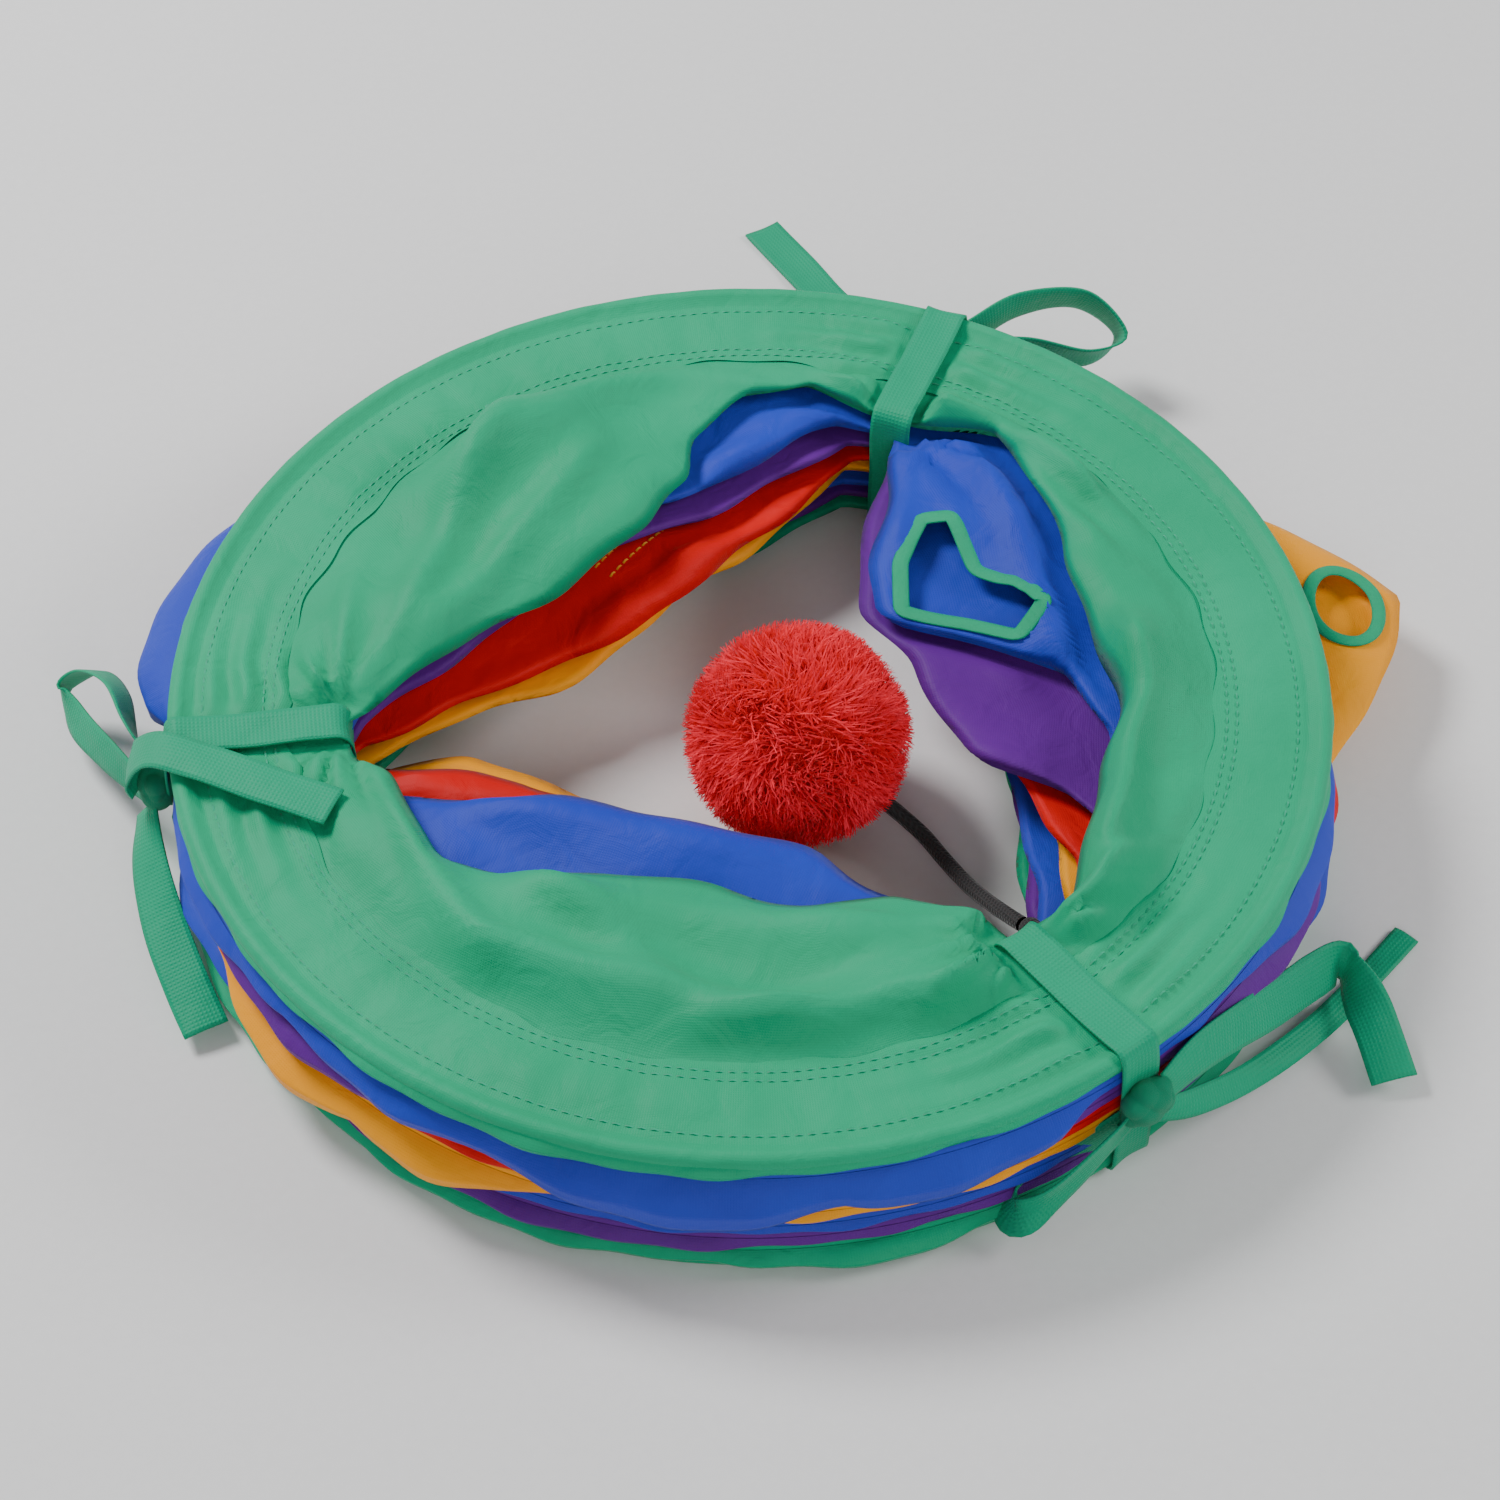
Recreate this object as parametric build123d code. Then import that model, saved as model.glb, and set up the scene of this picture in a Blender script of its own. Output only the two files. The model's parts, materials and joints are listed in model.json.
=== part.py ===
"""Collapsible fabric agility tunnel for cats, folded flat and tied shut at three places.

Frame: the origin is on the tunnel's axis, in the plane the tunnel lies on. +Z runs up the axis.
The lower end lies on Z = 0 and the upper end carries the ties. Sizes are in millimetres.
Level 0 is the lower end hoop, levels 1 to 7 are the hoops between, and level 8 is the upper end hoop.
Panel k is the tube of fabric between hoops k - 1 and k, doubled inwards at its middle.
"""
from build123d import *
import os
from math import cos, degrees, pi, radians, sin, sqrt, tan

# Tunnel
HOOP_RADIUS = 125.0  # to the centre of the wire
PANELS = ["green", "purple", "blue", "yellow", "red", "purple", "blue", "green"]  # lowest first
PITCH = 4.3  # hoop to hoop, folded flat
OPEN_PITCH = 180.0  # hoop to hoop, pulled open: the length of a panel

# Spring wire, its crimped joints and the channels it runs in
WIRE_DIAMETER = 1.6
WIRE_END_GAP = 1.5
FERRULE_DIAMETER = 2.3
FERRULE_LENGTH = 8.0
CHANNEL_BORE = 2.6
SLEEVE_DIAMETER = 3.2
HEM_ROLL_DIAMETER = 4.4
HEM_WIDTH = 24.0
HEM_THICKNESS = 1.2
FERRULE_FIRST = 98.0  # azimuth of the lowest wire joint, degrees
FERRULE_STEP = 37.0

# Folded fabric
FOLD_GAP = 0.55  # from a hoop's level to the fabric folded beside it
EDGE_GAP = 0.5  # from a wire channel to the fabric
OPENING_APOTHEM = 52.0  # from the axis to the middle of a fold's straight inner edge
OPENING_CORNER = 14.0

# Peepholes, edged with binding tape
PEEPHOLE_PANEL = 7
PEEPHOLE_RADIUS = 34.0
PEEPHOLE_AZIMUTH = 34.0
BINDING_WIDTH = 3.0
BINDING_GAP = 0.3
FLAP_PANEL = 4
FLAP_REACH = HOOP_RADIUS + 33  # from the axis to the tip of the fabric that hangs outside the hoops
FLAP_SHOULDER = HOOP_RADIUS + 18
FLAP_AZIMUTH = 16.5
FLAP_HALF_ANGLE = 20.0
FLAP_HOLE_RADIUS = 9.0
FLAP_HOLE_REACH = HOOP_RADIUS + 15.5

# Tape ties
TAPE_WIDTH = 10.0
TAPE_THICKNESS = 0.5
TAPE_CLEARANCE = 0.2
TIE_AZIMUTH = {"rear": 68.0, "left": 188.0, "front": 308.0}
WRAP_CORNER = 1.0
KNOT_LENGTH = 11.0
KNOT_HEIGHT = 9.0
KNOT_DEPTH = 6.0
KNOT_CORNER = 1.6
KNOT_LEVEL = 25.0
BOW_GAP = 0.3

# Yarn ball on its elastic cord
BALL_DIAMETER = 51.0
BALL_PLACE = (10.4, -5.5)
CORE_DIAMETER = 10.0
CORE_GAP = 0.2
CORD_DIAMETER = 3.5
CORD_GAP = 0.25
KNOT_BALL_DIAMETER = 5.2
RUNNING_GAP = 0.3
ANCHOR = (60.0, -53.0, 17.2)  # centre of the knot that holds the cord to its tab
CORD_ROUTE = [(36.0, -16.3, 9.2), (43.6, -28.5, 8.6), (50.6, -40.6, 11.4)]  # between ball and knot
TAB_LENGTH = 12.0
TAB_WIDTH = 8.0
TAB_THICKNESS = 1.0
TAB_GAP = 0.6

# Worked out from the values above
LEVEL_0 = HEM_ROLL_DIAMETER / 2
TOP_LEVEL = LEVEL_0 + PITCH * len(PANELS)
STACK_HEIGHT = TOP_LEVEL + HEM_ROLL_DIAMETER / 2
OUTSIDE_RADIUS = HOOP_RADIUS + HEM_ROLL_DIAMETER / 2
FABRIC_RADIUS = HOOP_RADIUS - HEM_ROLL_DIAMETER / 2 - EDGE_GAP
CORNER_CENTRE = 2 * (OPENING_APOTHEM - OPENING_CORNER)  # axis to a rounded corner's own centre
WRAP_OUTSIDE = OUTSIDE_RADIUS + TAPE_CLEARANCE + TAPE_THICKNESS
WRAP_TOP = STACK_HEIGHT + TAPE_CLEARANCE + TAPE_THICKNESS
BALL_CENTRE = Vector(BALL_PLACE[0], BALL_PLACE[1], BALL_DIAMETER / 2)
ANCHOR_POINT = Vector(*ANCHOR)


def level(k):
    """Height of hoop k."""
    return LEVEL_0 + PITCH * k


def polar(radius, azimuth):
    """A place seen from above."""
    return radius * cos(radians(azimuth)), radius * sin(radians(azimuth))


def revolved(outline, arc=360.0, start=0.0):
    """Turns an outline round the tunnel's axis. Its X is the radius and its Y is the height."""
    return Rot(0, 0, start) * revolve(Plane.XZ * outline, Axis.Z, arc)


def rounded(points, largest):
    """Straight runs joined by tangent arcs as large as the runs allow, up to a largest radius."""
    places = [Vector(*p) for p in points]
    radii = []
    for before, corner, after in zip(places, places[1:], places[2:]):
        turn = radians((corner - before).get_angle(after - corner))
        shorter = min((corner - before).length, (after - corner).length)
        radii.append(min(largest, 0.45 * shorter / tan(turn / 2)))
    return FilletPolyline(*places, radius=radii), radii


def save(node, shape):
    """Writes one node: a single solid, or a group of separate ones."""
    solids = shape.solids()
    export_step(solids[0] if len(solids) == 1 else Compound(children=solids), f"parts/{node}.step")
    print(f"{node}: {len(solids)} solid(s), {sum(s.volume for s in solids):.0f} mm3")


# Hoops and their channels

def ferrule_azimuth(k):
    return FERRULE_FIRST + FERRULE_STEP * k


def hoop(k):
    """Spring wire bent round until its two ends almost meet."""
    gap = degrees(WIRE_END_GAP / HOOP_RADIUS)
    wire = Pos(HOOP_RADIUS, level(k)) * Circle(WIRE_DIAMETER / 2)
    return revolved(wire, 360 - gap, ferrule_azimuth(k) + gap / 2)


def ferrule(k):
    """Crimped tube that joins the two ends of a hoop."""
    arc = degrees(FERRULE_LENGTH / HOOP_RADIUS)
    wall = Circle(FERRULE_DIAMETER / 2) - Circle(WIRE_DIAMETER / 2)
    return revolved(Pos(HOOP_RADIUS, level(k)) * wall, arc, ferrule_azimuth(k) - arc / 2)


def sleeve(k):
    """Sewn channel that holds a hoop between two panels."""
    wall = Circle(SLEEVE_DIAMETER / 2) - Circle(CHANNEL_BORE / 2)
    return revolved(Pos(HOOP_RADIUS, level(k)) * wall)


def hem(height, band_height):
    """Turned hem at an end: a flat band with the end hoop's channel along its outer edge."""
    roll = Pos(HOOP_RADIUS, height) * Circle(HEM_ROLL_DIAMETER / 2)
    band = Pos(HOOP_RADIUS - HEM_WIDTH / 2, band_height) * Rectangle(HEM_WIDTH, HEM_THICKNESS)
    bore = Pos(HOOP_RADIUS, height) * Circle(CHANNEL_BORE / 2)
    return revolved(roll + band - bore)


def lower_hem():
    """The lower hem is pressed up a little where each tie runs under it."""
    ring = hem(LEVEL_0, HEM_THICKNESS / 2)
    depth = TAPE_THICKNESS + TAPE_CLEARANCE
    groove = Box(2 * HEM_WIDTH + TAPE_WIDTH, TAPE_WIDTH + 2 * TAPE_CLEARANCE, 2 * depth)
    for azimuth in TIE_AZIMUTH.values():
        ring -= Rot(0, 0, azimuth) * Pos(HOOP_RADIUS, 0, 0) * groove
    return ring


def upper_hem():
    return hem(TOP_LEVEL, STACK_HEIGHT - HEM_THICKNESS / 2)


# Folded panels

def opening():
    """Three-sided hole that the folds leave, with a rounded corner at each tie."""
    corners = [polar(2 * OPENING_APOTHEM, azimuth) for azimuth in TIE_AZIMUTH.values()]
    shape = Polygon(*corners, align=None)
    return fillet(shape.vertices(), OPENING_CORNER)


def peephole_centre():
    """On the straight inner edge of the folds between the front and rear ties."""
    middle = TIE_AZIMUTH["rear"] - 60
    return Pos(*polar(OPENING_APOTHEM / cos(radians(PEEPHOLE_AZIMUTH - middle)), PEEPHOLE_AZIMUTH))


def tab_plane(height):
    """Level plane at the cord's knot. Its X points from the cord into the folds."""
    x_dir = (ANCHOR_POINT.X - CORD_ROUTE[-1][0], ANCHOR_POINT.Y - CORD_ROUTE[-1][1], 0)
    return Plane(origin=(ANCHOR_POINT.X, ANCHOR_POINT.Y, height), x_dir=x_dir, z_dir=(0, 0, 1))


def tab_pocket():
    """Room in the folds for the cord's knot and its tab, open towards the middle of the tunnel."""
    length = 2 * (TAB_LENGTH + TAB_GAP)
    return tab_plane(0) * Rectangle(length, TAB_WIDTH + 2 * TAB_GAP)


def fold_heights(k):
    """Underside and top of panel k when it is folded."""
    return level(k - 1) + FOLD_GAP, level(k) - FOLD_GAP


def layer(k, outline):
    """An outline as thick as folded panel k, at its height."""
    low, high = fold_heights(k)
    return Pos(0, 0, low) * extrude(outline, high - low)


def flap_outline():
    """Fabric of one panel that has slipped out between two hoops."""
    base = OUTSIDE_RADIUS + EDGE_GAP
    corners = [
        polar(base - 4, FLAP_AZIMUTH - FLAP_HALF_ANGLE),
        polar(FLAP_SHOULDER, FLAP_AZIMUTH - FLAP_HALF_ANGLE / 2),
        polar(FLAP_REACH, FLAP_AZIMUTH),
        polar(FLAP_SHOULDER, FLAP_AZIMUTH + FLAP_HALF_ANGLE / 2),
        polar(base - 4, FLAP_AZIMUTH + FLAP_HALF_ANGLE),
    ]
    return Polygon(*corners, align=None) - Circle(base)


def flap_hole(radius):
    return Pos(*polar(FLAP_HOLE_REACH, FLAP_AZIMUTH)) * Circle(radius)


def panel(k):
    """Panel k folded flat between its two hoops."""
    low, high = fold_heights(k)
    outline = Circle(FABRIC_RADIUS) - opening()
    reach = KNOT_BALL_DIAMETER / 2 + RUNNING_GAP
    if low < ANCHOR_POINT.Z + reach and high > min(CORD_ROUTE[-1][2], ANCHOR_POINT.Z - reach):
        outline -= tab_pocket()
    if k == PEEPHOLE_PANEL:
        outline -= peephole_centre() * Circle(PEEPHOLE_RADIUS + BINDING_WIDTH + BINDING_GAP)
    folded = layer(k, outline)
    if k != FLAP_PANEL:
        return folded
    flap = layer(k, flap_outline() - flap_hole(FLAP_HOLE_RADIUS + BINDING_WIDTH + BINDING_GAP))
    return Compound(children=[*folded.solids(), *flap.solids()])


def peephole_binding():
    """Tape round the peephole's edge, doubled over with its panel at the middle of the hole."""
    ring = Circle(PEEPHOLE_RADIUS + BINDING_WIDTH) - Circle(PEEPHOLE_RADIUS)
    return layer(PEEPHOLE_PANEL, (peephole_centre() * ring - opening()) & Circle(FABRIC_RADIUS))


def flap_binding():
    """Tape round the second peephole, in the fabric that hangs outside the hoops."""
    ring = flap_hole(FLAP_HOLE_RADIUS + BINDING_WIDTH) - flap_hole(FLAP_HOLE_RADIUS)
    return layer(FLAP_PANEL, ring)


# Ties

def tie_wrap(tie):
    """Tape round the folded tunnel: over both hems, outside the hoops and down through the opening."""
    side = TAPE_WIDTH / 2 + TAPE_CLEARANCE
    fabric_edge = CORNER_CENTRE + sqrt(OPENING_CORNER**2 - side**2)
    inside = fabric_edge - TAPE_CLEARANCE - TAPE_THICKNESS
    width = WRAP_OUTSIDE - inside
    outer = RectangleRounded(width, WRAP_TOP, WRAP_CORNER)
    inner = RectangleRounded(
        width - 2 * TAPE_THICKNESS, WRAP_TOP - 2 * TAPE_THICKNESS, WRAP_CORNER - TAPE_THICKNESS
    )
    band = Plane.XZ * Pos(inside + width / 2, WRAP_TOP / 2) * (outer - inner)
    return Rot(0, 0, TIE_AZIMUTH[tie]) * extrude(band, TAPE_WIDTH / 2, both=True)


def beside_knot(tie, along=0.0, out=0.0, up=0.0):
    """A place measured from a knot's middle: along the rim, away from the axis and upwards."""
    x, y = polar(WRAP_OUTSIDE + KNOT_DEPTH / 2 + out, TIE_AZIMUTH[tie])
    dx, dy = polar(along, TIE_AZIMUTH[tie] + 90)
    return Vector(x + dx, y + dy, KNOT_LEVEL + up)


def knot(tie):
    lump = Box(KNOT_DEPTH, KNOT_LENGTH, KNOT_HEIGHT)
    lump = fillet(lump.edges(), KNOT_CORNER)
    return Pos(beside_knot(tie)) * Rot(0, 0, TIE_AZIMUTH[tie]) * lump


def teardrop(length, radius):
    """Outline of a bow's loop, from its point at the origin to its round end."""
    reach = length - radius * radius / length
    spread = radius * sqrt(1 - (radius / length) ** 2)
    return Pos(length, 0) * Circle(radius) + Polygon((0, 0), (reach, spread), (reach, -spread), align=None)


def bow(start, azimuth, length, radius):
    """Loop of tape that stands on its edge beside a knot."""
    inner_radius = radius - TAPE_THICKNESS
    shift = TAPE_THICKNESS * length / radius
    loop = teardrop(length, radius) - Pos(shift, 0) * teardrop(length - shift, inner_radius)
    return Pos(start) * Rot(0, 0, azimuth) * extrude(loop, TAPE_WIDTH / 2, both=True)


def tape(start, azimuth, profile, largest=8.0):
    """Tape laid flat along an azimuth. The profile lists distance and height above the surface."""
    path = rounded([(d, h, 0) for d, h in profile], largest)[0] if len(profile) > 2 else Line(*profile)
    side = Vector(*polar(1, azimuth))
    upright = Plane(origin=(start.X, start.Y, 0), x_dir=side, z_dir=side.cross(Vector(0, 0, 1)))
    return extrude(upright * trace(path, TAPE_THICKNESS), TAPE_WIDTH / 2, both=True)


def tie_bow(tie, azimuth, length, radius):
    return bow(beside_knot(tie, -(KNOT_LENGTH / 2 + BOW_GAP)), azimuth, length, radius)


def tail_start(tie, azimuth, out=0.0, up=0.0):
    """Where a tail that leaves along an azimuth starts, so that its square end clears the knot."""
    slant = radians(azimuth - TIE_AZIMUTH[tie] - 90)
    clear = KNOT_LENGTH / 2 + BOW_GAP + TAPE_WIDTH / 2 * abs(sin(slant))
    return beside_knot(tie, clear, out, up)


def rear_tail():
    """Drops from its knot and lies on the surface."""
    azimuth = 120.5
    start = tail_start("rear", azimuth)
    lying = TAPE_THICKNESS / 2
    return tape(start, azimuth, [(0, start.Z), (6, start.Z), (26, lying), (74, lying)])


def left_tail_over():
    """Rises from its knot and crosses the upper hem to lie on the folds inside."""
    start = beside_knot("left", 0, TAPE_WIDTH / 20, KNOT_HEIGHT / 2 + BOW_GAP)
    over = WRAP_TOP + TAPE_CLEARANCE + TAPE_THICKNESS / 2
    return tape(start, -26.0, [(0, start.Z), (0, over), (49, over)], 2 * TAPE_THICKNESS)


def left_tail_down():
    """Slants down outside the hoops."""
    azimuth = 286.7
    start = tail_start("left", azimuth, 3.5)
    return tape(start, azimuth, [(0, start.Z), (12, start.Z - 3), (44, 5), (54, 3)])


def front_tail_folded():
    """Runs out beside the rim, and its end is folded back down."""
    azimuth, length, fold_height = 51.5, 58.0, 13.0
    start = tail_start("front", azimuth, 4.0, 3.0)
    first = tape(start, azimuth, [(0, start.Z), (9, start.Z + 1), (length, fold_height)], 25.0)
    dx, dy = polar(length, azimuth)
    end = tape(start + Vector(dx, dy), 286.5, [(2, fold_height - 2), (31, 3)])
    return Compound(children=[*first.solids(), *end.solids()])


def front_tail_long():
    """Drops to the surface and lies on it."""
    azimuth = 47.0
    start = tail_start("front", azimuth, 4.0, -3.5)
    lying = TAPE_THICKNESS / 2
    return tape(start, azimuth, [(0, start.Z), (5, start.Z - 1), (22, lying), (77, lying)])


# Yarn ball and cord

def cord_points():
    """Route from the core inside the ball to the face of the knot."""
    out = (Vector(*CORD_ROUTE[0]) - BALL_CENTRE).normalized()
    in_ = (Vector(*CORD_ROUTE[-1]) - ANCHOR_POINT).normalized()
    first = BALL_CENTRE + out * (CORE_DIAMETER / 2)
    last = ANCHOR_POINT + in_ * (KNOT_BALL_DIAMETER / 2 + RUNNING_GAP)
    return [tuple(first), *CORD_ROUTE, tuple(last)]


def swept(path, diameter):
    """Round tube along a path."""
    return sweep(Plane(origin=path @ 0, z_dir=path % 0) * Circle(diameter / 2), path=path)


def cord():
    path, radii = rounded(cord_points(), 1000.0)
    tube = swept(path, CORD_DIAMETER)
    expected = pi * (CORD_DIAMETER / 2) ** 2 * path.length
    print("cord length", round(path.length, 1), "radii", [round(r, 1) for r in radii])
    print("cord volume against section times length", round(tube.volume / expected, 4))
    return tube


def ball_core():
    """Knot of binding yarn at the middle of the ball, on the cord's end."""
    points = cord_points()
    out = (Vector(*points[1]) - Vector(*points[0])).normalized()
    flat = Plane(origin=points[0], z_dir=out) * Pos(0, 0, 5) * Box(20, 20, 10)
    return Pos(BALL_CENTRE) * Sphere(CORE_DIAMETER / 2) - flat


def yarn_ball():
    """Ball of yarn, with a hollow for its core and a way out for the cord."""
    points = cord_points()
    out = Plane(origin=points[0], z_dir=Vector(*points[1]) - Vector(*points[0]))
    way = out * Pos(0, 0, BALL_DIAMETER / 2) * Cylinder(CORD_DIAMETER / 2 + CORD_GAP, BALL_DIAMETER)
    ball = Pos(BALL_CENTRE) * Sphere(BALL_DIAMETER / 2)
    return ball - Pos(BALL_CENTRE) * Sphere(CORE_DIAMETER / 2 + CORE_GAP) - way


def cord_knot():
    return Pos(ANCHOR_POINT) * Sphere(KNOT_BALL_DIAMETER / 2)


def cord_tab():
    """Fabric tab that holds the knot, sewn into the middle of a panel."""
    tab = tab_plane(ANCHOR_POINT.Z) * Pos(TAB_LENGTH / 2, 0, 0) * Box(TAB_LENGTH, TAB_WIDTH, TAB_THICKNESS)
    return tab - Pos(ANCHOR_POINT) * Sphere(KNOT_BALL_DIAMETER / 2 + RUNNING_GAP)


def main():
    os.makedirs("parts", exist_ok=True)
    top = len(PANELS)
    save("lower_hem", lower_hem())
    save("upper_hem", upper_hem())
    for k in range(top + 1):
        save(f"hoop_{k}", hoop(k))
        save(f"hoop_ferrule_{k}", ferrule(k))
    for k in range(1, top):
        save(f"hoop_sleeve_{k}", sleeve(k))
    for k, colour in enumerate(PANELS, 1):
        save(f"{colour}_panel_{k}", panel(k))
    save("peephole_binding", peephole_binding())
    save("flap_binding", flap_binding())
    for tie in TIE_AZIMUTH:
        save(f"{tie}_tie_wrap", tie_wrap(tie))
        save(f"{tie}_tie_knot", knot(tie))
    save("rear_tie_bow", tie_bow("rear", 8.0, 38.0, 5.5))
    save("left_tie_bow", tie_bow("left", 124.0, 34.0, 6.0))
    save("front_tie_bow", tie_bow("front", 216.0, 22.0, 5.0))
    save("rear_tie_tail", rear_tail())
    save("left_tie_tail_over", left_tail_over())
    save("left_tie_tail_down", left_tail_down())
    save("front_tie_tail_folded", front_tail_folded())
    save("front_tie_tail_long", front_tail_long())
    save("cord_tab", cord_tab())
    save("cord_knot", cord_knot())
    save("ball_cord", cord())
    save("ball_core", ball_core())
    save("yarn_ball", yarn_ball())
    print("travel of one panel", OPEN_PITCH - PITCH)


main()
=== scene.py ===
# %% [markdown]
# # A folded fabric agility tunnel
# A cat tunnel is eight tubes of light polyester sewn end to end. A hoop of spring wire sits in every seam.
# Here it is stored: the hoops lie on each other, the fabric is tucked inside them, and three tape ties hold it.
# The CAD model gives the frame: the hoops, their places and how they move. This script gives it its looks.

# %% Load the frame
import json
from math import cos, hypot, pi, radians, sin

import bmesh
import bpy
import numpy as np
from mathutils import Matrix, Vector
from mathutils.kdtree import KDTree


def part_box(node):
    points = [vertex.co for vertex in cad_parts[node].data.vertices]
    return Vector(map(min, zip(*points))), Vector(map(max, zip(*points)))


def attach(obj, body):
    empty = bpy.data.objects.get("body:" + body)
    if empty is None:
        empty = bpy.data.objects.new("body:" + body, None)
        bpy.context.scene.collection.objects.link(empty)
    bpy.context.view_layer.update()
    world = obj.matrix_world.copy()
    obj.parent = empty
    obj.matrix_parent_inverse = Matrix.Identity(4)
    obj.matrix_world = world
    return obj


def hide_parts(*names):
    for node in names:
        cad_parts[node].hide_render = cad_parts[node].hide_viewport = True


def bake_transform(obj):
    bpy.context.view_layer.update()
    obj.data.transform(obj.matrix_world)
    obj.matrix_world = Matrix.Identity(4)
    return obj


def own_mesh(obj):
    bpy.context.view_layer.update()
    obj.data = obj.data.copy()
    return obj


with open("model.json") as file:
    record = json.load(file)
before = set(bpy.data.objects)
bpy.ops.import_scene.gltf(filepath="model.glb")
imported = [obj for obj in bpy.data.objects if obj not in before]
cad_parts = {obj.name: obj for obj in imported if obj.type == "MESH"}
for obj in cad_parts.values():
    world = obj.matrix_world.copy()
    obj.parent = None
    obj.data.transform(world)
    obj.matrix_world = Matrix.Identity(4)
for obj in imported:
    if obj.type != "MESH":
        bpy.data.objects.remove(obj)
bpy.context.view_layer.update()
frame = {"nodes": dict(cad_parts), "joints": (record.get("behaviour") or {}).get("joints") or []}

MM = 0.001
nodes = frame["nodes"]

# %% [markdown]
# ## Sizes from the frame
# Every size that the CAD model holds is read back from its nodes, so that the cloth fits the hoops.

# %% Sizes
def low(node):
    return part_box(node)[0]


def high(node):
    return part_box(node)[1]


PANELS = ["green", "purple", "blue", "yellow", "red", "purple", "blue", "green"]
WIRE_RADIUS = (high("hoop_0").z - low("hoop_0").z) / 2
HOOP_RADIUS = high("hoop_0").y - WIRE_RADIUS
LEVELS = [(low(f"hoop_{k}").z + high(f"hoop_{k}").z) / 2 for k in range(len(PANELS) + 1)]
PITCH = LEVELS[1] - LEVELS[0]
TRAVEL = next(j for j in frame["joints"] if j["name"] == "tunnel_opening")["range_m"][1]
PANEL_LENGTH = TRAVEL + PITCH
HOOP_LENGTH = 2 * pi * HOOP_RADIUS
print("hoop radius", round(HOOP_RADIUS, 4), "pitch", round(PITCH, 4), "panel length", round(PANEL_LENGTH, 4))

# %% [markdown]
# ## Helpers
# A place is often easier to give by its azimuth round the tunnel's axis. The ties stand 120 degrees apart.
# The fabric hangs inwards in three lobes, one between each two ties.

# %% Places round the axis
TIES = {"rear": 68.0, "left": 188.0, "front": 308.0}
LOBES = {"far": 128.0, "near": 248.0, "right": 8.0}


def polar(radius, azimuth, z=0.0):
    return Vector((radius * cos(radians(azimuth)), radius * sin(radians(azimuth)), z))


def wrap_angle(degrees_off):
    """The same angle, from -180 to 180 degrees."""
    return (np.asarray(degrees_off) + 180.0) % 360.0 - 180.0


def only(obj):
    """Selects one object alone and makes it the active one."""
    bpy.ops.object.select_all(action="DESELECT")
    obj.select_set(True)
    bpy.context.view_layer.objects.active = obj
    return obj


# %% [markdown]
# ## Small tools for meshes
# Every new piece starts from a primitive and has its vertices moved to their places in one go. These helpers
# do what all pieces need: start alone, move points, run one operator in edit mode, and keep a value per point.

# %% Mesh tools
def start_piece(name, operator, **settings):
    """Adds one new object with nothing else selected, and names it."""
    bpy.ops.object.select_all(action="DESELECT")
    operator(**settings)
    obj = bpy.context.object
    obj.name = obj.data.name = name
    return obj


def in_edit_mode(obj, operator, **settings):
    """Runs one operator on the whole of a piece."""
    only(obj)
    bpy.ops.object.mode_set(mode="EDIT")
    bpy.ops.mesh.select_all(action="SELECT")
    operator(**settings)
    bpy.ops.object.mode_set(mode="OBJECT")


def finish_closed(obj):
    """Turns the faces of a closed piece outwards and shades it smooth."""
    in_edit_mode(obj, bpy.ops.mesh.normals_make_consistent, inside=False)
    bpy.ops.object.shade_smooth()


def positions(obj):
    co = np.zeros(len(obj.data.vertices) * 3)
    obj.data.vertices.foreach_get("co", co)
    return co.reshape(-1, 3)


def place_vertices(obj, co):
    obj.data.vertices.foreach_set("co", np.asarray(co, np.float32).ravel())
    obj.data.update()


def keep_values(obj, name, values, kind="FLOAT"):
    """Keeps one value per point in a named attribute."""
    new = obj.data.attributes.new(name, kind, "POINT")
    new.data.foreach_set("value", values.astype(np.int32 if kind == "INT" else np.float32))


def kept_values(obj, name, number=np.float32):
    values = np.zeros(len(obj.data.vertices), number)
    obj.data.attributes[name].data.foreach_get("value", values)
    return values


def set_uv(obj, u, v):
    """A UV map in metres, from two values per point."""
    loops = np.zeros(len(obj.data.loops), int)
    obj.data.loops.foreach_get("vertex_index", loops)
    coords = np.stack([u[loops], v[loops]], -1)
    obj.data.uv_layers[0].data.foreach_set("uv", coords.astype(np.float32).ravel())


def tie_distance(azimuth):
    """How far an azimuth is from the nearest tie, in degrees."""
    return np.min([np.abs(wrap_angle(azimuth - tie)) for tie in TIES.values()], axis=0)


# %% [markdown]
# ## The panels
# A real panel is a strip of thin polyester, 785 by 180 mm, sewn between two hoops. Folded, it can't lie flat in
# the narrow space between its hoops. It first bulges out a little between them, then runs inwards to the edge of
# the lobe, doubles back on itself twice, and returns to the lower hoop. The path of one column of cloth is made
# from that description. Its length is kept, so near a tie, where the way is short, the pleats are deep.
#
# All layers share one gentle swell, so no layer passes through another. A layer only wrinkles on its own where
# nothing lies on top of it.

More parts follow.
